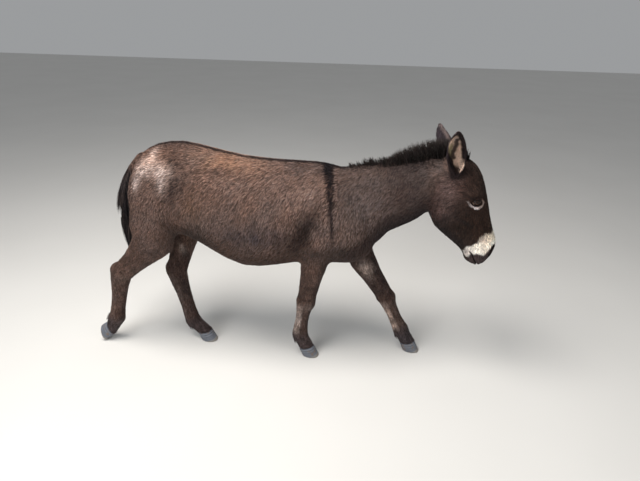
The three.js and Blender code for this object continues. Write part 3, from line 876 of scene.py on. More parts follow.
def head_marks(tones, points, normals):
    """The dark face, pale muzzle, grey lips and the rings round the eyes, with painted shade under
    the jaw and in the crease above each eye.
    """
    place = in_head(points)
    both = folded(place)
    ahead, _, up = both.T
    wander = ripple(points, 26, 11)
    tones = patched(tones, both, FACE_PATCHES)
    # Painted shade under the jaw, where the head faces down.
    jaw = step(-normals[:, 2], 0.1, 0.7)
    tones = toward(tones, SHADE, jaw * 0.8)
    lips = step(-up, 196, 214) * step(ahead, -4, 12)
    tones = toward(tones, LIPS, lips * 0.9)
    nose_tip = step(-up, 168, 184) * step(ahead, 62, 84)
    tones = toward(tones, LIPS, nose_tip * 0.9)
    band = step(inside_outline(both[:, [0, 2]], PALE_MUZZLE) + 2.5 * wander, -5, 5)
    tones = toward(tones, MUZZLE, band)
    tones = toward(tones, CREAM, band * bell(both, (84, 30, -138), (40, 50, 26)) * 0.7)
    pink = bell(both, (0, 30, -215), (16, 24, 26)) + 0.6 * bell(both, (50, 44, -150), (30, 24, 16))
    tones = toward(tones, PINK, band * pink * 0.7)
    mouth_far, mouth_along = off_mouth(both)
    inside_mouth = (1 - step(mouth_far, 1.5, 5)) * step(mouth_along, 0.02, 0.1) * (up < -190)
    tones = toward(tones, WET, inside_mouth * 0.9)
    nostril_far = off_line(both, NOSTRIL)[0]
    tones = toward(tones, LIPS, (1 - step(nostril_far, 10, 18)) * 0.8)
    tones = toward(tones, WET, (1 - step(nostril_far, 6, 11)) * 0.95)
    ring_line = in_eye(np.array(EYE_RING, float), 1)[:, :2]
    for side in (1, -1):
        eye_points = in_eye(place, side)
        inside = inside_opening(eye_points)
        close = (np.linalg.norm(eye_points, axis=1) < 60) & (eye_points[:, 2] > -14)
        far, down = off_line(eye_points[:, :2], ring_line)
        half = graded(down, RING_HALF)
        ring = (1 - step(far, half - 1.5, half + 2)) * (1 - 0.5 * step(down, 0.8, 1))
        tones = toward(tones, toward(RING_GREY, RING, graded(down, RING_BRIGHT)), ring * close)
        # Painted shade in the crease above the eye.
        crease_shade = ridge(eye_points, [(-62, 34, -20), (-40, 20, 0), (-14, 13, 14), (12, 16, 12)], 4.5) * close
        tones = toward(tones, CROSS, crease_shade * 0.8)
        tones = toward(tones, WET, (1 - step(-inside, 2.6, 4.6)) * close)
    return tones


def round_ear(points, side):
    """The way up an ear, how far up it points lie, and the way to each from the ear's own line."""
    root, tip = ears[side]
    way = unit(tip - root)
    gap = points - root
    return way, gap @ way, gap - (gap @ way)[:, None] * way


def on_ear(points, side):
    """Along an ear as a share of its length, across it and out of its opening, in millimetres."""
    root, tip = ears[side]
    way = unit(tip - root)
    faces = unit(np.array(EAR_FACES[side]) - way * (way @ np.array(EAR_FACES[side])))
    gap = points - root
    along = gap @ way / np.linalg.norm(tip - root)
    return np.stack([along, gap @ np.cross(way, faces) / MM, gap @ faces / MM], 1)


# The outline of the pale inside of an ear: across it, towards its front edge, and along it.
PALE_EAR = [
    (-10, 179), (0, 180), (5, 172), (10, 162), (18, 146), (22, 122), (23, 92), (24, 60), (20, 40), (4, 36), (-2, 52),
    (-3, 70), (-11, 82), (-20, 96), (-24, 110), (-26, 138), (-24, 153), (-18, 168),
]
EAR_BAND = [(2, 156), (6, 138), (5, 120), (-3, 106), (-7, 90), (0, 78)]


def ear_marks(tones, points, normals):
    """Dark rims and tips, a dark band down the middle, and pale insides."""
    wander = ripple(points, 22, 5)
    for side, (root, tip) in ears.items():
        along, across, out = on_ear(points, side).T
        forward = across if side == "right" else -across
        flat = np.stack([forward, along * np.linalg.norm(tip - root) / MM], 1)
        inside = step(-(normals * unit(round_ear(points, side)[2])).sum(1), 0.1, 0.5)
        front = step(normals @ unit(EAR_FACES[side]), 0.15, 0.5)
        close = (np.abs(across) < 46) & (np.abs(out) < 50) & (along > -0.1) & (along < 1.2)
        tones = toward(tones, EAR_BACK, close * (0.4 + 0.6 * step(along, 0.2, 0.6)))
        tones = toward(tones, PINK, close * (1 - step(np.abs(across), 4, 16)) * step(along, 0.3, 0.6) * 0.22)
        opening = np.maximum(inside, front) * close
        tones = toward(tones, EAR_RIM, opening)
        pale = step(inside_outline(flat, PALE_EAR) + 1.5 * wander, -3, 3.5)
        haze = step(-forward, 2, 12) * step(160 - flat[:, 1], 0, 30)
        inner = toward(EAR_INSIDE, EAR_HAZE, haze)
        inner = toward(inner, PINK, bell(flat, (-2, 166), (7, 8)) * 0.9)
        band = 1 - step(off_line(flat, EAR_BAND)[0] + 2 * wander, 5.5, 10)
        inner = toward(inner, EAR_RIM, band * 0.9)
        tones = toward(tones, inner, opening * pale)
    return tones


# The pale patch high on the inside of a leg, its reach and strength, and the cannon's paleness.
PALE_LEG = {"fore": [(-23, 49, 193), (25, 32, 40), 0.95, 1], "hind": [(70, 25, 115), (13, 30, 24), 0.55, 0.12]}


def leg_marks(tones, points, normals):
    """Dark fronts and feet, pale backs, faint bars on the forearms, pale patches and painted shade
    on the insides, and a painted highlight on the front of the knee and hock.
    """
    wander = ripple(points, 30, 21)
    for leg, places in joints.items():
        upper = "knee" if "fore" in leg else "hock"
        local = on_leg(points, leg, upper)
        shin = np.linalg.norm(places[upper] - places["fetlock"]) / MM
        side = -1 if "right" in leg else 1
        inner = step(-side * normals[:, 1], 0.2, 0.8)
        forward = normals @ leg_axes(leg, upper)[2]
        rear = step(-local[:, 0], 1, 13)
        close = (np.linalg.norm(local[:, :2], axis=1) < 90) & (local[:, 2] > -shin - 120) & (local[:, 2] < 260)
        cannon = step(local[:, 2], -shin + 4, -shin + 30) * (1 - step(local[:, 2], -30, 25))
        # Painted shade on the insides of the legs; the fronts are darker too.
        tones = toward(tones, SHADE, close * np.clip(0.5 * inner + 0.4 * step(forward, 0.2, 0.8), 0, 0.6))
        pale = cannon * np.clip(0.1 * inner + 0.85 * rear, 0, 1) * (0.8 + 0.3 * wander)
        where, reach, high_strength, low_strength = PALE_LEG[leg[:4]]
        tones = toward(tones, LEG_INSIDE, close * pale * low_strength)
        high = bell(local, where, reach) * inner * (np.linalg.norm(local, axis=1) < 260)
        tones = toward(tones, LEG_INSIDE, high * high_strength)
        bars = step(np.sin(local[:, 2] / 5.2 + 0.6 * wander), 0.3, 0.9) * step(local[:, 2], 5, 30)
        bars = bars * (1 - step(local[:, 2], 120, 150)) * (1 - inner)
        tones = toward(tones, SHADE, close * bars * 0.55 * ("fore" in leg))
        # A painted highlight on the front of the knee and of the hock.
        joint_highlight = bell(local, (18, 10, 2), (24, 40, 26)) * (1 - inner)
        tones = toward(tones, LEG_INSIDE, close * joint_highlight * 0.22)
        foot = step(-local[:, 2] + 6 * wander, shin - 44, shin + 12)
        tones = toward(tones, FOOT, close * foot * 0.9)
    return tones


def tail_marks(tones, points, normals):
    """The dock: brown as the croup at its root, and dark below it."""
    low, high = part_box("tail_dock")
    down = (high.z - points[:, 2]) / (high.z - low.z)
    return toward(tones, CROSS, step(down, 0.12, 0.42) * 0.92)


REGION_TONES = {"trunk": BODY, "neck": NECK, "head": FACE, "ear": FACE, "leg": LEG, "tail": CROUP}


def tones_of(points, normals, weights):
    """The coat's colour at each point. The weights say how much of each region it belongs to."""
    tones = sum(weights[region][:, None] * tone for region, tone in REGION_TONES.items())
    marked = {
        "trunk": trunk_marks(tones, points, normals),
        "head": head_marks(tones, points, normals),
        "ear": ear_marks(tones, points, normals),
        "leg": leg_marks(tones, points, normals),
    }
    marked["neck"] = marked["trunk"]
    marked["tail"] = tail_marks(tones, points, normals)
    return sum(weights[region][:, None] * marked[region] for region in REGION_TONES)


# %% How much of each region every point of the skin belongs to
REGIONS = list(REGION_TONES)
belongs = node_values(skin_points, {region: i for i, region in enumerate(REGIONS)})
throat = step(-in_head(skin_points)[:, 0], 40, 90) * step(60 - in_head(skin_points)[:, 2], -30, 30)
nape = step(-in_head(skin_points)[:, 0], 110, 150)
ahead_of_withers = skin_points[:, 0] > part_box("neck")[0].x + WITHERS
blending = 5 + 70 * np.maximum(throat, nape * ahead_of_withers)
skin_weights = relaxed(np.eye(len(REGIONS))[belongs.astype(int)], skin.data, blending)


def by_region(weights):
    return {region: weights[:, i] for i, region in enumerate(REGIONS)}


def weighed(table):
    """A table's values for the regions, mixed as the skin's points belong to them."""
    return skin_weights @ np.array([table[region] for region in REGIONS])


share_of = by_region(skin_weights)
skin_tones = tones_of(skin_points, skin_normals, share_of)


def set_values(mesh, name, values, kind="FLOAT", field="value"):
    """Keeps a value at each point of a mesh, for its material to read."""
    layer = mesh.attributes.new(name, kind, "POINT")
    layer.data.foreach_set(field, values.astype(np.float32).ravel())


def set_tones(mesh, tones):
    rgba = np.concatenate([np.clip(tones, 0.002, 1), np.ones((len(tones), 1))], 1)
    set_values(mesh, "tone", rgba, "FLOAT_COLOR", "color")


print("tones: mean", np.round(skin_tones.mean(0), 3).tolist())

# %% [markdown]
# ## The lie of the coat
#
# Hair grows backwards from the nose, down the flanks and down the legs, and turns aside only at a
# few whorls. A groomer knows it as the way that the brush goes. Here it is a set of known
# directions at known places, and every point of the skin takes the mean of those nearest to it.

# %% Directions of the hair
TRUNK_LIE = [
    [(100, 0, 490), (-1, 0, -0.2)], [(300, 0, 490), (-1, 0, 0)], [(500, 0, 450), (-1, 0, 0)],
    [(700, 0, 440), (-1, 0, 0)], [(830, 0, 440), (-1, 0, 0)],
    [(200, 130, 420), (-1, 0.2, -0.6)], [(400, 150, 400), (-0.65, 0.2, -1)],
    [(600, 140, 380), (-0.5, 0.2, -1)], [(780, 110, 380), (-0.6, 0.2, -1)],
    [(320, 85, 465), (-0.9, 0.6, -0.5)], [(480, 85, 445), (-0.7, 0.6, -0.6)],
    [(620, 80, 435), (-0.6, 0.6, -0.6)], [(740, 70, 430), (-0.6, 0.6, -0.6)],
    [(150, 150, 280), (-0.5, 0, -1)], [(350, 160, 260), (-0.5, 0, -1)],
    [(500, 175, 230), (-0.4, 0, -1)], [(650, 160, 230), (-0.4, 0, -1)],
    [(560, 165, 310), (-0.4, 0.1, -1)], [(700, 150, 310), (-0.45, 0.1, -1)],
    [(800, 135, 230), (-0.3, 0, -1)], [(400, 140, 90), (-1, -0.2, -0.5)],
    [(600, 130, 90), (-0.9, -0.2, -0.6)], [(450, 0, 20), (-1, 0, 0)], [(700, 0, 40), (-1, 0, 0)],
    [(270, 150, 190), (0.2, 0, -1)], [(10, 60, 380), (-0.2, 0.3, -1)],
    [(10, 60, 230), (0, 0.3, -1)], [(1000, 30, 180), (-0.1, 0.2, -1)],
    [(940, 110, 250), (-0.35, 0.2, -1)], [(950, 90, 420), (-0.35, 0.2, -1)],
    [(1090, 75, 420), (-0.3, 0.2, -1)], [(1180, 60, 400), (-0.4, 0, -1)],
    [(1000, 0, 510), (-0.6, 0.5, -0.7)], [(1080, 0, 290), (-0.9, 0, -0.4)],
]
HEAD_LIE = [
    [(-110, 20, 150), (-0.8, 0, 0.4)], [(-45, 0, 110), (-0.5, 0, 0.9)], [(5, 0, 10), (0.2, 0, -1)],
    [(40, 0, -100), (0.3, 0, -1)], [(80, 0, -195), (0.3, 0, -1)], [(-100, 60, -50), (-0.4, 0, -1)],
    [(-65, 70, 0), (-0.9, 0, -0.5)], [(-30, 60, -90), (-0.2, 0, -1)], [(-80, 30, -130), (0, 0, -1)],
    [(0, 20, -250), (0.2, 0, -1)], [(40, 45, -190), (0.2, 0, -1)], [(-110, 60, 60), (-1, 0, -0.4)],
    [(0, 65, 42), (-0.4, 0.2, 0.9)], [(30, 40, -40), (0.1, 0.3, -1)],
]


def known_directions():
    """Places and directions of the hair all over the body, from the lists and the legs and ears."""
    places, ways = [], []
    for (along, out, up), (ahead, aside, rise) in TRUNK_LIE:
        for side in (1, -1):
            places.append([trunk_corner[0] + along * MM, mid_y + side * out * MM, trunk_corner[2] + up * MM])
            ways.append([ahead, side * aside, rise])
    for (ahead, left, up), (go_ahead, go_left, go_up) in HEAD_LIE:
        for side in (1, -1):
            places.append(from_head([ahead, side * left, up]))
            ways.append(np.array([go_ahead, side * go_left, go_up]) @ head_axes)
    for leg, named in joints.items():
        run = list(named.values())
        for high, low in zip(run, run[1:]):
            for share in (0.15, 0.5, 0.85):
                places.append(high + (low - high) * share)
                ways.append(low - high)
    for root, tip in ears.values():
        for share in (0.25, 0.6, 0.95):
            places.append(root + (tip - root) * share)
            ways.append(tip - root)
    dock_low, dock_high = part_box("tail_dock")
    places.append(np.array(dock_low + dock_high) / 2)
    ways.append([-0.4, 0, -1])
    return np.array(places), unit(np.array(ways))


places, ways = known_directions()
skin_lie = np.zeros_like(skin_points)
for place, way in zip(places, ways):
    skin_lie += way / (((skin_points - place) ** 2).sum(1)[:, None] + 0.02**2) ** 1.5
skin_lie = unit(skin_lie)


def drawn_out(values, rounds):
    """Values spread along the lie of the coat and hardly across it, so that they run in streaks."""
    start, end = read(skin.data, "edges", "vertices", 2, np.int32).T
    way = unit(skin_points[end] - skin_points[start])
    share = np.abs((way * unit(skin_lie[start] + skin_lie[end])).sum(1)) ** 6 + 0.02
    count = len(values)
    total = 0.3 + np.bincount(start, share, count) + np.bincount(end, share, count)
    for _ in range(rounds):
        from_ends = np.bincount(start, share * values[end], count)
        from_starts = np.bincount(end, share * values[start], count)
        values = (0.3 * values + from_ends + from_starts) / total
    return (values - values.mean()) / values.std()


fine_streaks = drawn_out(rng.normal(size=len(skin_points)), 5)
broad_streaks = drawn_out(relaxed(rng.normal(size=len(skin_points)), skin.data, 4), 30)
STREAKS = {"trunk": 0.13, "neck": 0.13, "head": 0.26, "ear": 0.10, "leg": 0.26, "tail": 0.2}
skin_streaks = np.clip(0.9 * fine_streaks + (0.25 + 0.2 * share_of["trunk"]) * broad_streaks, -1.5, 2.5)
streaked = 1 + weighed(STREAKS) * skin_streaks
set_tones(skin.data, skin_tones * streaked[:, None])
print("lie:", len(places), "known directions; streaks to", round(float(skin_streaks.max()), 1))

# %% [markdown]
# ## Materials
#
# A short coat is not one colour: each lock is a little lighter or darker, its tips are paler than
# its roots, partly as a painted glint, and it shines along the hair. Skin and tufts read the same
# markings; the skin adds fine streaks along the lie of the coat as colour and bump, and the tufts
# add their own shade.

# %% Shader maths in Python
class Value:
    """A socket that takes part in sums; each sum adds its node."""

    def __init__(self, shader, socket):
        self.shader = shader
        self.socket = socket

    def maths(self, operation, *others):
        inputs = dict(enumerate((self, *others)))
        return self.shader.make("ShaderNodeMath", {"operation": operation}, inputs)

    def __add__(self, other):
        return self.maths("ADD", other)

    def __mul__(self, other):
        return self.maths("MULTIPLY", other)

    def __sub__(self, other):
        return self.maths("SUBTRACT", other)

    def __rsub__(self, other):
        return (self * -1) + other

    __radd__ = __add__
    __rmul__ = __mul__

    def between(self, low, high):
        """0 below low and 1 above high, with a smooth rise between."""
        settings = {"interpolation_type": "SMOOTHSTEP"}
        return self.shader.make("ShaderNodeMapRange", settings, {0: self, 1: low, 2: high})

    def scaled(self, by):
        """A colour or vector multiplied by a number."""
        return self.shader.make("ShaderNodeVectorMath", {"operation": "SCALE"}, {0: self, 3: by})

    def vector(self, operation, other, output=0):
        """Vector maths with another vector or colour."""
        settings = {"operation": operation}
        return self.shader.make("ShaderNodeVectorMath", settings, {0: self, 1: other}, output)


class Shader:
    """A material, with one method that makes any node."""

    def __init__(self, name, **principled):
        self.material = bpy.data.materials.new(name)
        self.material.use_nodes = True
        self.tree = self.material.node_tree
        self.surface = self.tree.nodes["Principled BSDF"]
        for key, value in principled.items():
            self.surface.inputs[key.replace("_", " ").title().replace("Ior", "IOR")].default_value = value

    def make(self, kind, settings=None, inputs=None, output=0):
        node = self.tree.nodes.new(kind)
        for key, value in (settings or {}).items():
            setattr(node, key, value)
        for key, value in (inputs or {}).items():
            self.join(node.inputs[key], value)
        return Value(self, node.outputs[output])

    def join(self, socket, value):
        if isinstance(value, Value):
            self.tree.links.new(value.socket, socket)
        else:
            socket.default_value = value

    def place(self):
        return self.make("ShaderNodeTexCoord", output="Object")

    def attribute(self, name, output="Fac"):
        return self.make("ShaderNodeAttribute", {"attribute_name": name}, output=output)

    def noise(self, place, scale, detail=3.0, roughness=0.55):
        inputs = {"Vector": place, "Scale": scale, "Detail": detail, "Roughness": roughness}
        return self.make("ShaderNodeTexNoise", {}, inputs, output="Fac")

    def mix(self, share, a, b, blend="MIX"):
        """Two colours mixed; a plain colour is given as red, green and blue."""
        a, b = ((*c, 1) if not isinstance(c, Value) else c for c in (a, b))
        settings = {"data_type": "RGBA", "blend_type": blend}
        return self.make("ShaderNodeMix", settings, {0: share, 6: a, 7: b}, output=2)

    def bump(self, height, distance, strength=1.0):
        inputs = {"Height": height, "Distance": distance, "Strength": strength}
        return self.make("ShaderNodeBump", {}, inputs, output="Normal")

    def finish(self, **inputs):
        for key, value in inputs.items():
            self.join(self.surface.inputs[key.replace("_", " ").title()], value)
        return self.material


def dress(o, material):
    o.data.materials.clear()
    o.data.materials.append(material)


# %% The coat's material, on the skin and on the tufts
WARM = (1.06, 1.00, 0.96)
COOL = (0.94, 0.985, 1.03)
# Paler, greyer hair tips: partly the hair's own, partly a painted glint.
TIP_AND_GLINT = (0.97, 1.10, 1.19)


def coat_colour(s):
    """The markings, drifting between a warmer and a cooler brown, and lighter and darker."""
    tone = s.attribute("tone", "Color")
    drift = s.noise(s.place(), 7.0, 4.0).between(0.35, 0.65)
    patch = s.noise(s.place(), 26.0, 3.0)
    tinted = s.mix(drift, s.mix(1.0, tone, COOL, "MULTIPLY"), s.mix(1.0, tone, WARM, "MULTIPLY"))
    return tinted.scaled(patch * 0.5 + 0.75)


def skin_material():
    """Short fur seen as fine streaks along the lie of the coat."""
    s = Shader("short_coat", roughness=0.66, specular_ior_level=0.08, sheen_weight=0.02, sheen_roughness=0.45)
    lie = s.attribute("lie", "Vector")
    place = s.place()
    along = place.vector("DOT_PRODUCT", lie, "Value")
    squeezed = place.vector("SUBTRACT", lie.scaled(along * 0.88))
    streaks = s.noise(squeezed, 420.0, 2.0)
    locks = s.noise(squeezed, 130.0, 2.0)
    colour = coat_colour(s).scaled(streaks * 0.9 + locks * 0.8 + 0.12)
    bump = s.bump(streaks * 0.6 + locks, 1.1 * MM, 0.8)
    return s.finish(base_color=colour, roughness=streaks * 0.25 + 0.55, normal=bump)


def tuft_material(name, shine=0.02):
    """A lock of hair: its own shade of the markings, paler towards its tip, partly as a painted glint."""
    s = Shader(name, roughness=0.6, specular_ior_level=0.09, sheen_weight=shine, sheen_roughness=0.4)
    shade = s.attribute("shade")
    tip = s.attribute("tip")
    tone = coat_colour(s)
    # Tips paler and greyer: partly the hair's own paler tips, partly a painted glint.
    tipped = s.mix(tip, tone, s.mix(1.0, tone, TIP_AND_GLINT, "MULTIPLY"))
    colour = tipped.scaled((shade * 1.3 + 0.35) * (tip * 0.70 + 0.62))
    return s.finish(base_color=colour, roughness=shade * 0.2 + 0.5)


set_values(skin.data, "lie", skin_lie, "FLOAT_VECTOR", "vector")
dress(skin, skin_material())
COAT = tuft_material("coat_tufts")

# %% [markdown]
# ## The coat
#
# A donkey's summer coat is short and lies flat. A hair of it is too thin to model, so what is
# modelled is the tuft, a flat lock with a ridge along its middle, which follows the skin and lifts
# a little at its tip. Roots are strewn evenly over the skin, closer and smaller on the face, ears
# and feet, and each tuft is bent to the surface by asking the skin for its nearest point.

# %% Tuft sizes by region, in millimetres
TUFT = {  # length, width, lift of the tip, space between roots
    "trunk": (18, 3.6, 3.3, 5.6),
    "neck": (18, 3.4, 2.6, 5.2),
    "head": (10, 2.2, 1.6, 3.5),
    "ear": (9, 1.8, 1.5, 3.4),
    "leg": (11, 2.6, 1.8, 4.1),
    "tail": (17, 3.0, 3.0, 4.4),
}
sizes = weighed(TUFT)
head_points = in_head(skin_points)
muzzle = step(-head_points[:, 2], 130, 190) * step(head_points[:, 0], -70, -30) * share_of["head"]
small = np.clip(muzzle + near_eyes(head_points, (38, 38, 32)), 0, 1)[:, None]
sizes = sizes * (1 - small * [0.55, 0.5, 0.6, 0.28])


def bare_skin(points, normals):
    """1 where no tuft grows: eyes, nostrils, mouth and the insides of the ears."""
    place = in_head(points)
    both = folded(place)
    bare = np.zeros(len(points))
    for side in (1, -1):
        eye_points = in_eye(place, side)
        close = (np.linalg.norm(eye_points, axis=1) < 60) & (eye_points[:, 2] > -8)
        bare = np.maximum(bare, (inside_opening(eye_points) > -2.6) * close)
    bare = np.maximum(bare, off_line(both, NOSTRIL)[0] < 8)
    mouth_far, mouth_along = off_mouth(both)
    bare = np.maximum(bare, (mouth_far < 4.5) & (mouth_along > 0.03) & (place[:, 2] < -190))
    for side in ears:
        _, up_ear, round_it = round_ear(points, side)
        inside = (normals * unit(round_it)).sum(1) < 0.15
        near_ear = (np.linalg.norm(round_it, axis=1) < 0.06) & (up_ear > -0.01)
        bare = np.maximum(bare, inside & near_ear)
    return bare


# %% Strew the roots
def strew(space, wanted):
    """Even random roots on the skin: the triangle and the three shares of its corners."""
    corners = skin_points[skin_faces]
    area = np.linalg.norm(np.cross(corners[:, 1] - corners[:, 0], corners[:, 2] - corners[:, 0]), axis=1) / 2
    gap = space[skin_faces].mean(1) * MM
    density = area / gap**2 * wanted[skin_faces].mean(1)
    count = int(density.sum() * 4)
    face = rng.choice(len(density), count, p=density / density.sum())
    u, v = rng.random((2, count))
    flip = u + v > 1
    u[flip], v[flip] = 1 - u[flip], 1 - v[flip]
    shares = np.stack([1 - u - v, u, v], 1)
    points = (skin_points[skin_faces[face]] * shares[..., None]).sum(1)
    step_size = 2.0 ** (np.round(np.log2(gap[face]) * 4) / 4)  # cells of a few sizes
    cells = np.concatenate([np.floor(points / step_size[:, None]), step_size[:, None] * 1e5], 1)
    kept = np.sort(np.unique(cells.round().astype(np.int64), axis=0, return_index=True)[1])
    return face[kept], shares[kept]


def at_roots(values, roots):
    """Values of the skin's points read at the roots."""
    face, shares = roots
    return (values[skin_faces[face]] * (shares if values.ndim == 1 else shares[..., None])).sum(1)


wanted = 1 - bare_skin(skin_points, skin_normals)
roots = strew(sizes[:, 3], wanted)
root_points = at_roots(skin_points, roots)
root_normals = unit(at_roots(skin_normals, roots))
keep = bare_skin(root_points, root_normals) < 0.5
roots = (roots[0][keep], roots[1][keep])
root_points, root_normals = root_points[keep], root_normals[keep]
print("roots:", len(root_points))


# %% Grow the tufts
def nearest_skin(points):
    """The nearest places on the skin and the way out of it there."""
    found = [skin_tree.find_nearest(p)[:2] for p in points.tolist()]
    return np.array([f[0] for f in found]), np.array([f[1] for f in found])


def flat_to(vectors, normals):
    """Vectors laid flat against a surface."""
    return unit(vectors - (vectors * normals).sum(1)[:, None] * normals)


def tuft_points(base, normals, way, sizes):
    """Seven points for each tuft: three at the root, three at its middle, and the tip."""
    length, width, lift = (sizes[:, i : i + 1] * MM for i in range(3))
    across = np.cross(normals, way)
    belly, belly_normals = nearest_skin(base + way * length * 0.5 + normals * lift * 0.5)
    onward = flat_to(way, belly_normals)
    end, end_normals = nearest_skin(belly + onward * length * 0.5 + belly_normals * lift * 0.5)
    belly = belly + belly_normals * lift * 0.5
    end = end + end_normals * lift
    thick = width * 0.22
    root = base - normals * 0.8 * MM
    across_belly = np.cross(belly_normals, onward)
    rows = [
        root - across * width * 0.32,
        root + across * width * 0.32,
        root + normals * thick * 1.4 + way * width * 0.3,
        belly - across_belly * width * 0.5,
        belly + across_belly * width * 0.5,
        belly + belly_normals * thick,
        end,
    ]
    return np.stack(rows, 1)


TUFT_FACES = np.array(
    [[0, 2, 1], [0, 1, 4], [0, 4, 3], [1, 2, 5], [1, 5, 4], [2, 0, 3], [2, 3, 5], [3, 4, 6], [4, 5, 6], [5, 3, 6]]
)
TUFT_TIP = np.array([0, 0, 0, 0.5, 0.5, 0.5, 1])
TUFT_PATCH = np.array([[0.3, 0], [0.7, 0], [0.5, 0.1], [0.1, 0.5], [0.9, 0.5], [0.5, 0.5], [0.5, 1]])
PATCH = 0.003  # size of a tuft's patch on the skin's unwrap


def mesh_piece(title, points, faces, tones, shades, tips, patches):
    """A mesh of many like solids: arrays run over solids, then over a solid's points."""
    count, corners = points.shape[:2]
    mesh = bpy.data.meshes.new(title)
    triangles = (faces[None] + np.arange(count)[:, None, None] * corners).reshape(-1, 3)
    mesh.vertices.add(count * corners)
    mesh.loops.add(triangles.size)
    mesh.polygons.add(len(triangles))
    mesh.vertices.foreach_set("co", points.astype(np.float32).ravel())
    mesh.loops.foreach_set("vertex_index", triangles.astype(np.int32).ravel())
    mesh.polygons.foreach_set("loop_start", np.arange(len(triangles), dtype=np.int32) * 3)
    smooth(mesh)
    mesh.update(calc_edges=True)
    uv = mesh.uv_layers.new(name="OFBake")
    uv.data.foreach_set("uv", patches.reshape(-1, 2)[triangles.ravel()].astype(np.float32).ravel())
    set_tones(mesh, np.repeat(tones, corners, 0))
    set_values(mesh, "shade", np.repeat(shades, corners))
    set_values(mesh, "tip", np.tile(tips, count))
    o = bpy.data.objects.new(title, mesh)
    scene.collection.objects.link(o)
    return o


def patches_at(root_uv, outline):
    """Each solid's small patch of the unwrap, beside its root."""
    corner = np.clip(root_uv, PATCH, 1 - PATCH)[:, None] - PATCH / 2
    return corner + outline[None] * PATCH


count = len(root_points)
root_sizes = at_roots(sizes, roots)
root_sizes[:, 0] *= rng.normal(1, 0.22, count).clip(0.5, 1.5)
root_sizes[:, 1] *= rng.normal(1, 0.15, count).clip(0.6, 1.4)
root_sizes[:, 2] *= rng.normal(1, 0.30, count).clip(0.4, 2.0) * (1 + 0.3 * at_roots(skin_streaks, roots))
root_sizes[:, 2] = np.maximum(root_sizes[:, 2], 0.3)
root_way = flat_to(at_roots(skin_lie, roots), root_normals)
turn = rng.normal(0, 0.15, count)[:, None]
root_way = root_way * np.cos(turn) + np.cross(root_normals, root_way) * np.sin(turn)
root_weights = at_roots(skin_weights, roots)
root_tones = tones_of(root_points, root_normals, by_region(root_weights)) * at_roots(streaked, roots)[:, None]
root_uv = (skin_uv[roots[0]] * roots[1][..., None]).sum(1)
tufts = inside_frame(tuft_points(root_points, root_normals, root_way, root_sizes))
shades = rng.random(count)
print("tufts:", count, "of", len(TUFT_FACES), "triangles")

# %% Part the coat into pieces
PIECE_TUFTS = 19_000
coat = []
root_region = root_weights.argmax(1)
for i, region in enumerate(REGIONS):
    members = np.nonzero(root_region == i)[0]
    members = members[np.argsort(root_points[members, 0], kind="stable")]
    for k, part in enumerate(np.array_split(members, math.ceil(len(members) / PIECE_TUFTS))):
        patches = patches_at(root_uv[part], TUFT_PATCH)
        title = f"coat_{region}_{k + 1}"
        piece = mesh_piece(title, tufts[part], TUFT_FACES, root_tones[part], shades[part], TUFT_TIP, patches)
        dress(piece, COAT)
        coat.append(piece)
        print(title, len(piece.data.polygons), "triangles")

# %% [markdown]
# ## Mane, forelock, tail and ear hair
#
# Long hair is modelled as locks: tapered, four-sided, curved strands. The mane of a small donkey
# stands up without falling over, thick near the poll and thinning to single tufts at the withers.
# The tail is bare of long hair down its dock and ends in a dark switch.

# %% A lock
LOCK_ROWS = 5
LOCK_SIDES = 4


def lock_faces():
    """The faces of a lock: a closed base, a tube of quads cut in two, and a point."""
    faces = [[0, 2, 1], [0, 3, 2]]
    for row in range(LOCK_ROWS - 1):
        for side in range(LOCK_SIDES):
            a = row * LOCK_SIDES + side
            b = row * LOCK_SIDES + (side + 1) % LOCK_SIDES
            faces += [[a, b, b + LOCK_SIDES], [a, b + LOCK_SIDES, a + LOCK_SIDES]]
    last = (LOCK_ROWS - 1) * LOCK_SIDES
    faces += [[last + side, last + (side + 1) % LOCK_SIDES, last + LOCK_SIDES] for side in range(LOCK_SIDES)]
    return np.array(faces)


LOCK_FACES = lock_faces()
LOCK_TIP = np.append(np.repeat(np.arange(LOCK_ROWS) / LOCK_ROWS, LOCK_SIDES), 1.0)
LOCK_PATCH = np.array([[0.5 + 0.4 * (k % LOCK_SIDES - 1.5) / 1.5, t] for k, t in enumerate(LOCK_TIP)])


def lock_points(base, way, bend, length, width, flat=0.45):
    """Locks that leave their bases along a way and turn towards a bend as they go."""
    count = len(base)
    across = unit(np.cross(way, bend) + 1e-6)
    out = []
    for row in range(LOCK_ROWS + 1):
        t = row / LOCK_ROWS
        centre = base + length[:, None] * (way * (t - 0.35 * t * t) + bend * 0.5 * t * t)
        if row == LOCK_ROWS:
            out.append(centre[:, None])
            break
        half = (width * (1 - 0.75 * t**1.5) / 2)[:, None]
        along = unit(way * (1 - 0.7 * t) + bend * t)
        depth = np.cross(across, along) * flat
        ring = [across * half, depth * half, -across * half, -depth * half]
        out.append(np.stack([centre + r for r in ring], 1))
    return np.concatenate(out, 1).reshape(count, -1, 3)


def locks(title, base, way, bend, length, width, tones):
    """One piece made of many locks, their lengths and widths in millimetres."""
    points = inside_frame(lock_points(base, way, bend, length * MM, width * MM))
    faces = [skin_tree.find_nearest(p)[2] for p in base.tolist()]
    patches = patches_at(skin_uv[faces].mean(1), LOCK_PATCH)
    piece = mesh_piece(title, points, LOCK_FACES, tones, rng.random(len(base)), LOCK_TIP, patches)
    piece.data.flip_normals()
    return piece


def scatter(ways, spread):
    """Ways turned a little, each by chance."""
    return unit(ways + rng.normal(0, spread, ways.shape))


# %% The mane
mane_solid = points_of(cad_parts["mane"])
mane_low, mane_high = (np.array(c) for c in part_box("mane"))


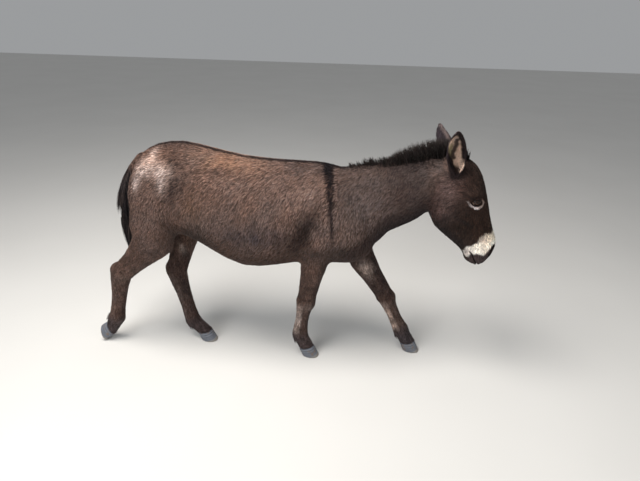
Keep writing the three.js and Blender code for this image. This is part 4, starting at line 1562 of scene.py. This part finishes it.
def mane_line(x):
    """The mane's middle and its top over each place along it, from its solid."""
    grid = np.linspace(mane_low[0], mane_high[0], 25)
    window = np.abs(mane_solid[None, :, 0] - grid[:, None]) < 0.03
    side = (mane_solid[None, :, 1] * window).sum(1) / window.sum(1)
    top = np.where(window, mane_solid[None, :, 2], -1).max(1)
    side, top = (np.convolve(np.pad(line, 2, "edge"), np.full(5, 0.2), "valid") for line in (side, top))
    return np.interp(x, grid, side), np.interp(x, grid, top)


def crest(x, y):
    """The skin under points at x and y, looked for from above."""
    start = 1.2
    found = [skin_tree.ray_cast(Vector((a, b, start)), Vector((0, 0, -1)))[0] for a, b in zip(x, y)]
    return np.array([f if f is not None else (np.nan,) * 3 for f in found])


def mane_roots(count, first, last, crowding, half_width):
    """Roots along the crest: shares of its length from first to last, crowded towards the poll."""
    share = first + (last - first) * rng.random(count) ** crowding
    x = mane_low[0] + (mane_high[0] - mane_low[0]) * share
    side, top = mane_line(x)
    stray = 1 + (rng.random(count) < 0.16)
    y = side + rng.normal(0, half_width * MM, count).clip(-2 * half_width * MM, 2 * half_width * MM) * stray
    base = crest(x, y)
    good = ~np.isnan(base[:, 0])
    return share[good], base[good], top[good]


share, base, top = mane_roots(3800, first=0.0, last=0.985, crowding=0.66, half_width=8.5)
clumps = 0.62 + (0.32 - 0.26 * step(share, 0.3, 0.5)) * ripple(base, 34, 40) + 0.22 * ripple(base, 9, 44)
thick = step(share, 0.18, 0.5)
standing = rng.random(len(base)) < 0.4 + 0.6 * thick
room = (top - base[:, 2]) / MM + 3
length = room * (0.62 + 0.30 * clumps * (1.2 - 0.5 * thick)) * rng.normal(1, 0.16, len(base)).clip(0.55, 1.3)
line_y = mane_line(base[:, 0])[0]
length = np.where(standing, length, length * 0.45) * (1 - 0.6 * step(np.abs(base[:, 1] - line_y) / MM, 14, 24))
length = np.clip(length, 5, 62)
way = scatter(np.stack([-0.42 + 0.24 * share, (base[:, 1] - line_y) * 26, np.ones(len(base))], 1), 0.13)
bend = scatter(way + [-0.35, 0.0, 0.1], 0.25)
tones = toward(MANE, NECK, rng.random(len(base)) ** 3 * 0.35)
mane = locks("mane_hair", base - way * 2 * MM, way, bend, length, rng.uniform(2.0, 3.4, len(base)), tones)

# The forelock: a short tuft between the ears.
count = 170
at_head = np.stack([rng.normal(-91, 10, count), rng.normal(0, 9, count), np.full(count, 170.0)], 1)
from_above = from_head(at_head)
base = crest(from_above[:, 0], from_above[:, 1])
way = scatter(np.tile(np.array([0.25, 0, 0.95]) @ head_axes, (count, 1)), 0.2)
bend = scatter(np.tile(np.array([0.9, 0, 0.1]) @ head_axes, (count, 1)), 0.25)
tones = toward(CROSS, NECK, rng.random(count) ** 3 * 0.4)
forelock = locks("forelock", base, way, bend, rng.uniform(5, 10, count), rng.uniform(1.8, 3.0, count), tones)
print("mane:", len(mane.data.polygons), "triangles; forelock:", len(forelock.data.polygons))

# %% The tail's switch
switch_low, switch_high = (np.array(c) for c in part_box("tail_switch"))
switch_solid = points_of(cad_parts["tail_switch"])


def switch_line(z):
    """The middle of the switch, and half its depth, at each height, from its solid."""
    window = np.abs(switch_solid[None, :, 2] - z[:, None]) < 0.032
    x = np.where(window, switch_solid[None, :, 0], np.nan)
    return (np.nanmin(x, 1) + np.nanmax(x, 1)) / 2, (np.nanmax(x, 1) - np.nanmin(x, 1)) / 2


count = 900
start = rng.random(count) ** 1.3
z = switch_high[2] + 0.035 - 0.14 * start
centre_x, half = switch_line(np.clip(z, switch_low[2] + 0.03, switch_high[2] - 0.01))
angle = rng.uniform(0, 6.283, count)
radius = np.sqrt(rng.random(count)) * 0.80
spread = radius * np.clip((switch_high[2] + 0.035 - z) / 0.07, 0.3, 1)
base = np.stack([centre_x + half * spread * np.cos(angle), mid_y + 0.022 * spread * np.sin(angle), z], 1)
length = np.clip((z - switch_low[2]) / MM * rng.uniform(0.62, 1.02, count), 40, 400)
end_z = z - length * MM
end_x, end_half = switch_line(np.clip(end_z, switch_low[2] + 0.01, switch_high[2]))
close_in = 0.75 - 0.45 * step(-end_z, -0.56, -0.47)
end = np.stack([
    end_x + end_half * radius * close_in * np.cos(angle),
    mid_y + 0.022 * radius * close_in * np.sin(angle),
    end_z,
], 1)
way = scatter(np.tile([-0.12, 0, -1.0], (count, 1)), 0.05)
bend = 2 * ((end - base) / (length * MM)[:, None] - way * 0.65)
tones = toward(CROSS, NECK, (radius > 0.62) * rng.random(count) ** 2 * 0.5)
switch = locks("tail_hair", base, way, bend, length, rng.uniform(3.5, 6.0, count), tones)
print("tail:", len(switch.data.polygons), "triangles")

# The dock's own hair lies down it, longer and darker towards the switch.
chosen = strew(np.full(len(skin_points), 3.4), share_of["tail"])
base, normals = at_roots(skin_points, chosen), unit(at_roots(skin_normals, chosen))
down = step(-base[:, 2], -0.88, -0.74)
keep = (at_roots(share_of["tail"], chosen) > 0.55) & (rng.random(len(base)) < 0.3 + 0.7 * down)
keep &= (normals[:, 2] > -0.45) & (base[:, 2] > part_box("tail_switch")[1].z + 0.02)
base, normals, down = base[keep], normals[keep], down[keep]
lie = flat_to(np.array([-0.12, 0, -1.0]), normals)
tones = toward(CROUP, CROSS, step(down, 0.0, 0.3))
tones = toward(tones, NECK, (normals[:, 0] < -0.2) * rng.random(len(base)) * 0.45)
dock = locks(
    "dock_hair", base, scatter(lie + normals * 0.16, 0.06), scatter(lie + [0, 0, -1.2], 0.05),
    (20 + 62 * down) * rng.uniform(0.7, 1.2, len(base)), rng.uniform(2.4, 4.2, len(base)), tones,
)
print("dock:", len(base), "locks")

# %% Hair in the ears, round the rims of the hooves, and the lashes
def ear_roots(side, wanted):
    """Roots on the inner side of an ear, and along its rim, with a share of them wanted."""
    chosen = strew(np.full(len(skin_points), 2.6), share_of["ear"])
    base, normals = at_roots(skin_points, chosen), unit(at_roots(skin_normals, chosen))
    way, up_ear, round_it = round_ear(base, side)
    inside = -(normals * unit(round_it)).sum(1)
    keep = (np.linalg.norm(round_it, axis=1) < 0.06) & (inside > -0.2) & (up_ear > 0)
    keep &= rng.random(len(base)) < wanted
    along = np.tile(way, (keep.sum(), 1))
    return base[keep], normals[keep], along, inside[keep], at_roots(skin_tones, chosen)[keep]


ear_pieces = []
for side in ears:
    base, normals, along, inside, root_marks = ear_roots(side, 0.55)
    way = scatter(along * 0.7 + normals * 0.8, 0.2)
    bend = scatter(along + normals * 0.3, 0.3)
    rim = inside < 0.35
    tones = np.clip(root_marks * rng.normal(1, 0.12, len(base)).clip(0.6, 1.4)[:, None], 0, 1)
    length = np.where(rim, rng.uniform(4, 8, len(base)), rng.uniform(6, 13, len(base)))
    width = rng.uniform(0.8, 1.5, len(base))
    ear_pieces.append(locks(f"ear_hair_{side}", base, way, bend, length, width, tones))
    print("ear:", len(base), "locks")

HEM_HAIRS = 260
FETLOCK_HAIRS = 70
foot_base, foot_way, foot_bend, foot_length = [], [], [], []
for leg, places in joints.items():
    axis = unit(places["hoof"] - places["fetlock"])
    near_foot = np.linalg.norm(skin_points - places["hoof"], axis=1) < 0.062
    above = (skin_points - places["hoof"]) @ -axis
    hem = near_foot & (above < np.percentile(above[near_foot], 22))
    chosen = rng.choice(np.nonzero(hem)[0], HEM_HAIRS)
    foot_base.append(skin_points[chosen])
    foot_way.append(skin_normals[chosen] * 0.5 + axis)
    foot_bend.append(skin_normals[chosen] * 0.1 + axis)
    foot_length.append(rng.uniform(7, 13, HEM_HAIRS))
    fetlock = leg_axes(leg, "fetlock")
    tuft_at = rng.normal(0, 0.006, (FETLOCK_HAIRS, 3)) + places["fetlock"]
    tuft_at = tuft_at - fetlock[2] * 0.03 - fetlock[1] * 0.012
    rooted, out = nearest_skin(tuft_at)
    foot_base.append(rooted)
    foot_way.append(out * 0.5 + axis)
    foot_bend.append(axis + out * 0.1)
    foot_length.append(rng.uniform(10, 22, FETLOCK_HAIRS))
foot_base = np.concatenate(foot_base)
foot_tones = toward(FOOT, LEG, rng.random(len(foot_base)) * 0.5)
feet_hair = locks(
    "foot_hair", foot_base, scatter(np.concatenate(foot_way), 0.1), scatter(np.concatenate(foot_bend), 0.1),
    np.concatenate(foot_length), rng.uniform(1.4, 2.4, len(foot_base)), foot_tones,
)

LASHES = 60
lash_pieces = []
for side in (1, -1):
    along = np.linspace(-OPENING * 0.92, OPENING * 0.92, LASHES)
    upper = lid_edges(along)[0] + 0.4
    out = lid_surface(np.stack([along, upper], 1), eye_radius + 1.6)
    base = from_eye(np.stack([along, upper, out], 1), side)
    way, bend = (
        np.stack([along * 0.012, np.full(LASHES, droop), np.ones(LASHES)], 1) @ eye_axes(side) @ head_axes
        for droop in (-0.35, -0.3)
    )
    lengths = 7 + 4 * (1 - (along / OPENING) ** 2)
    lash_pieces.append(locks(
        "lashes_left" if side > 0 else "lashes_right", base, scatter(way, 0.1), scatter(bend, 0.12),
        lengths, np.full(LASHES, 0.55), np.repeat(WET[None], LASHES, 0),
    ))

HAIR = tuft_material("long_hair", 0.03)
hair_pieces = [mane, forelock, switch, dock, feet_hair, *ear_pieces, *lash_pieces]
for piece in hair_pieces:
    dress(piece, HAIR)
    print(piece.name, len(piece.data.polygons), "triangles")

# %% [markdown]
# ## Eyes
#
# A glass eye for a mount is a painted ball under a clear dome. A donkey's iris is dark brown with
# a pupil that lies flat like a slot, and the white hardly shows. The ball is a sphere turned so
# that its pole looks out, with the dome raised round the pole and the paint laid out on its own
# map, so that iris and pupil stay with the ball.

# %% The eyeballs
CORNEA = 11.5  # radius of the clear dome over the iris, in millimetres


def eyeball(side, name):
    bpy.ops.mesh.primitive_uv_sphere_add(segments=48, ring_count=32, radius=(eye_radius - 0.4) * MM)
    ball = bpy.context.object
    ball.name = name
    local = points_of(ball) / MM
    flat = np.hypot(local[:, 0], local[:, 1])
    dome = 2.0 * (1 - step(flat, 4, CORNEA)) * (local[:, 2] > 0)
    local[:, 2] += dome - 0.6
    faces = read(ball.data, "loops", "vertex_index", 1, np.int32)
    write(ball.data, from_eye(local, side))
    paint_map = ball.data.uv_layers[0]
    paint_map.name = "EyePaint"
    front = np.where(local[:, 2:] > 0, local[:, :2], unit(local[:, :2]) * 40)
    paint_map.data.foreach_set("uv", (front[faces] / 40 + 0.5).astype(np.float32).ravel())
    if side < 0:
        ball.data.flip_normals()
    smooth(ball.data)
    return ball


def eye_material():
    """Iris, pupil and the dark ring round them, painted on the ball's own map."""
    s = Shader("eye_glass", roughness=0.2, coat_weight=0.35, coat_roughness=0.02, specular_ior_level=0.25, ior=1.38)
    uv = s.make("ShaderNodeUVMap", {"uv_map": "EyePaint"})
    centred = uv.vector("SUBTRACT", (0.5, 0.5, 0.0)).scaled(40.0)
    far = centred.vector("LENGTH", (0, 0, 0), "Value")
    pupil_far = centred.vector("MULTIPLY", (0.62, 1.35, 1.0)).vector("LENGTH", (0, 0, 0), "Value")
    fibres = s.noise(centred.vector("NORMALIZE", (0, 0, 0)), 9.0, 4.0)
    iris = s.mix(fibres, paint("2a170c"), paint("4a2c14"))
    iris = s.mix(far.between(5.0, 10.5), iris, paint("1a0f0a"))
    white = s.mix(s.noise(centred, 0.35).between(0.35, 0.7), paint("8d7668"), paint("5b4338"))
    colour = s.mix(far.between(10.8, 12.6), iris, white)
    colour = s.mix(pupil_far.between(3.9, 4.5), paint("050506"), colour)
    return s.finish(base_color=colour, roughness=fibres * 0.15 + 0.12)


EYE = eye_material()
eyes = {side: eyeball(sign, f"eyeball_{side}") for side, sign in (("left", 1), ("right", -1))}
for side, ball in eyes.items():
    dress(ball, EYE)
    print(ball.name, len(ball.data.polygons), "faces")

# %% [markdown]
# ## Hooves
#
# A hoof is a horn wall that grows down from the coronet, so it carries fine rings parallel to the
# hairline and streaks that run down it. The solids have the right outline and stance; each is
# copied, remeshed finely, rubbed round, and given its rings, and a hollow sole with a frog.

# %% The hooves
HOOF_HALF = 38  # half the length of a sole, in millimetres
HOOF_PITCH = {"hind_right": math.radians(78)}
HOOF_VOXEL = 1.7 * MM


def hoof_axes(leg):
    """The middle of a sole, and the ways to its toe and up its wall."""
    low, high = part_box(f"hoof_{leg}")
    pitch = HOOF_PITCH.get(leg, 0)
    toe = np.array([math.cos(pitch), 0, -math.sin(pitch)])
    up = np.array([math.sin(pitch), 0, math.cos(pitch)])
    if pitch:
        return near(f"hoof_{leg}", 8, 29.5, 33), toe, up
    return np.array([high.x - HOOF_HALF * MM, (low.y + high.y) / 2, low.z]), toe, up


def hoof(leg):
    piece = joined_copy([f"hoof_{leg}"], f"hoof_wall_{leg}")
    with_modifier(piece, "REMESH", mode="VOXEL", voxel_size=HOOF_VOXEL, use_smooth_shade=True)
    points = points_of(piece)
    lowest = points[:, 2].min()
    points = relaxed(points, piece.data, 7)
    middle_of_sole, toe, up = hoof_axes(leg)
    gap = (points - middle_of_sole) / MM
    across = np.cross(up, toe)
    place = np.stack([gap @ toe, gap @ across, gap @ up], 1)
    write(piece.data, points)
    normals = read(piece.data, "vertices", "normal")
    level = place[:, 2] - 0.29 * (place[:, 0] + 20 * place[:, 2] / 44)
    wall = 1 - step(np.abs(normals @ up), 0.5, 0.85)
    rings = 0.35 * np.sin(level * 1.55 + 0.4 * ripple(points, 30, 60)) + 0.2 * np.sin(level * 0.62)
    hairline = 1.2 * np.exp(-(((level - 39) / 3.5) ** 2))
    points += normals * ((rings + hairline) * wall)[:, None] * MM
    below = step(-(normals @ up), 0.6, 0.9)
    from_rim = np.hypot(place[:, 0] / 38, place[:, 1] / 30)
    hollow = 3.5 * (1 - step(from_rim, 0.62, 0.85)) * below
    frog = 2.8 * (1 - step(np.abs(place[:, 1]) - (12 - 0.42 * (place[:, 0] + 30)).clip(0, 14), -2, 2)) * below
    frog = frog * (1 - step(place[:, 0], 4, 14))
    points += up * ((hollow - np.minimum(frog, hollow)) * MM)[:, None]
    points[:, 2] = np.maximum(points[:, 2], lowest)
    write(piece.data, inside_frame(points))
    set_values(piece.data, "down_wall", level)
    set_values(piece.data, "sole", below)
    return piece


def horn_material():
    """Blue-grey horn: paler bands, streaks down the wall, and a dusty, paler sole."""
    s = Shader("horn", roughness=0.5, specular_ior_level=0.4)
    level = s.attribute("down_wall")
    sole = s.attribute("sole")
    place = s.place()
    streaks = s.noise(place.vector("MULTIPLY", (1.0, 1.0, 0.06)), 900.0, 2.0)
    bands = s.noise(s.make("ShaderNodeCombineXYZ", {}, {0: level}), 0.30, 3.0)
    dirt = s.noise(place, 60.0, 4.0)
    colour = s.mix(bands.between(0.3, 0.7), paint("272a30"), paint("7d828c"))
    colour = s.mix(dirt.between(0.5, 0.72), colour, paint("6d5c50"))
    colour = s.mix(level.between(-2.0, 9.0), paint("85807a"), colour)
    colour = colour.scaled(streaks * 1.0 + 0.5)
    colour = s.mix(sole, colour, s.mix(s.noise(place, 160.0), paint("6f6a64"), paint("98928a")))
    height = streaks * 0.4 + s.noise(place, 500.0, 3.0)
    return s.finish(base_color=colour, roughness=bands * 0.2 + 0.4, normal=s.bump(height, 0.5 * MM, 0.7))


HORN = horn_material()
hooves = {leg: hoof(leg) for leg in joints}
for leg, piece in hooves.items():
    dress(piece, HORN)
    print(piece.name, len(piece.data.polygons), "faces")

# %% [markdown]
# ## One body, and the solids that the pieces replace
#
# The still figure has one body, so everything rides on it. The solids that the pieces stand for
# are hidden, so that they don't show.

# %% Bodies and replaced solids
pieces = [skin, *coat, *hair_pieces, *eyes.values(), *hooves.values()]
for piece in pieces:
    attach(piece, "root")
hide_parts(*FLESH)
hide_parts("mane")
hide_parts("tail_switch")
for side, ball in eyes.items():
    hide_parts(f"eye_{side}")
for leg, piece in hooves.items():
    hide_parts(f"hoof_{leg}")
print(len(pieces), "pieces")

# %% [markdown]
# ## The studio
#
# A pale floor that fades into a pale surround, a large soft light overhead and a little behind,
# as an open sky would be, and a weaker one from the front so that the near side reads.

# %% Floor and lights
def studio_floor():
    bpy.ops.object.select_all(action="DESELECT")
    bpy.ops.mesh.primitive_plane_add(size=30, location=(0, 0, -0.0005))
    floor = bpy.context.object
    floor.name = "studio_floor"
    floor.data.transform(floor.matrix_world)
    floor.matrix_world = Matrix.Identity(4)
    s = Shader("pale_floor", roughness=0.9)
    shade = s.noise(s.place(), 1.2, 2.0)
    dress(floor, s.finish(base_color=s.mix(shade, (0.62, 0.61, 0.59), (0.68, 0.67, 0.65))))
    return floor


def soft_light(name, place, aim, size, power, colour):
    data = bpy.data.lights.new(name, "AREA")
    data.shape = "DISK"
    data.size = size
    data.energy = power
    data.color = colour
    light = bpy.data.objects.new(name, data)
    light.location = place
    light.rotation_euler = (Vector(aim) - Vector(place)).to_track_quat("-Z", "Y").to_euler()
    scene.collection.objects.link(light)
    return light


studio_floor()
centre = Vector((0, mid_y, 0.6 * cad_high.z))
soft_light("overhead", (-0.7, -0.7, 3.0), centre, 1.5, 105, (1.0, 0.96, 0.91))
soft_light("front", (-1.6, -3.0, 2.0), centre, 2.4, 62, (0.95, 0.98, 1.0))
soft_light("head_side", (2.6, -1.8, 1.6), centre, 1.8, 16, (1.0, 0.98, 0.95))

world = bpy.data.worlds.new("surround")
scene.world = world
world.use_nodes = True
world.node_tree.nodes["Background"].inputs["Color"].default_value = (0.86, 0.88, 0.90, 1)
world.node_tree.nodes["Background"].inputs["Strength"].default_value = 0.38
scene.view_settings.view_transform = "Standard"

# %% Camera
# The camera stands off the animal's right side, above its back, and looks a little down.
camera_data = bpy.data.cameras.new("camera")
camera_data.lens = 36 * 481 / 640
camera_data.sensor_width = 36
camera = bpy.data.objects.new("camera", camera_data)
frame_middle = (cad_low + cad_high) / 2
camera_place = Vector((frame_middle.x + 0.306, frame_middle.y - 1.816, 1.405))
turned = Matrix.Rotation(math.radians(4.5), 4, "Z") @ Matrix.Rotation(math.radians(65), 4, "X")
camera.matrix_world = Matrix.Translation(camera_place) @ turned @ Matrix.Rotation(math.radians(1.5), 4, "Z")
scene.collection.objects.link(camera)
scene.camera = camera

# %% Last update
# The looks stay inside the frame's box.
bpy.context.view_layer.update()
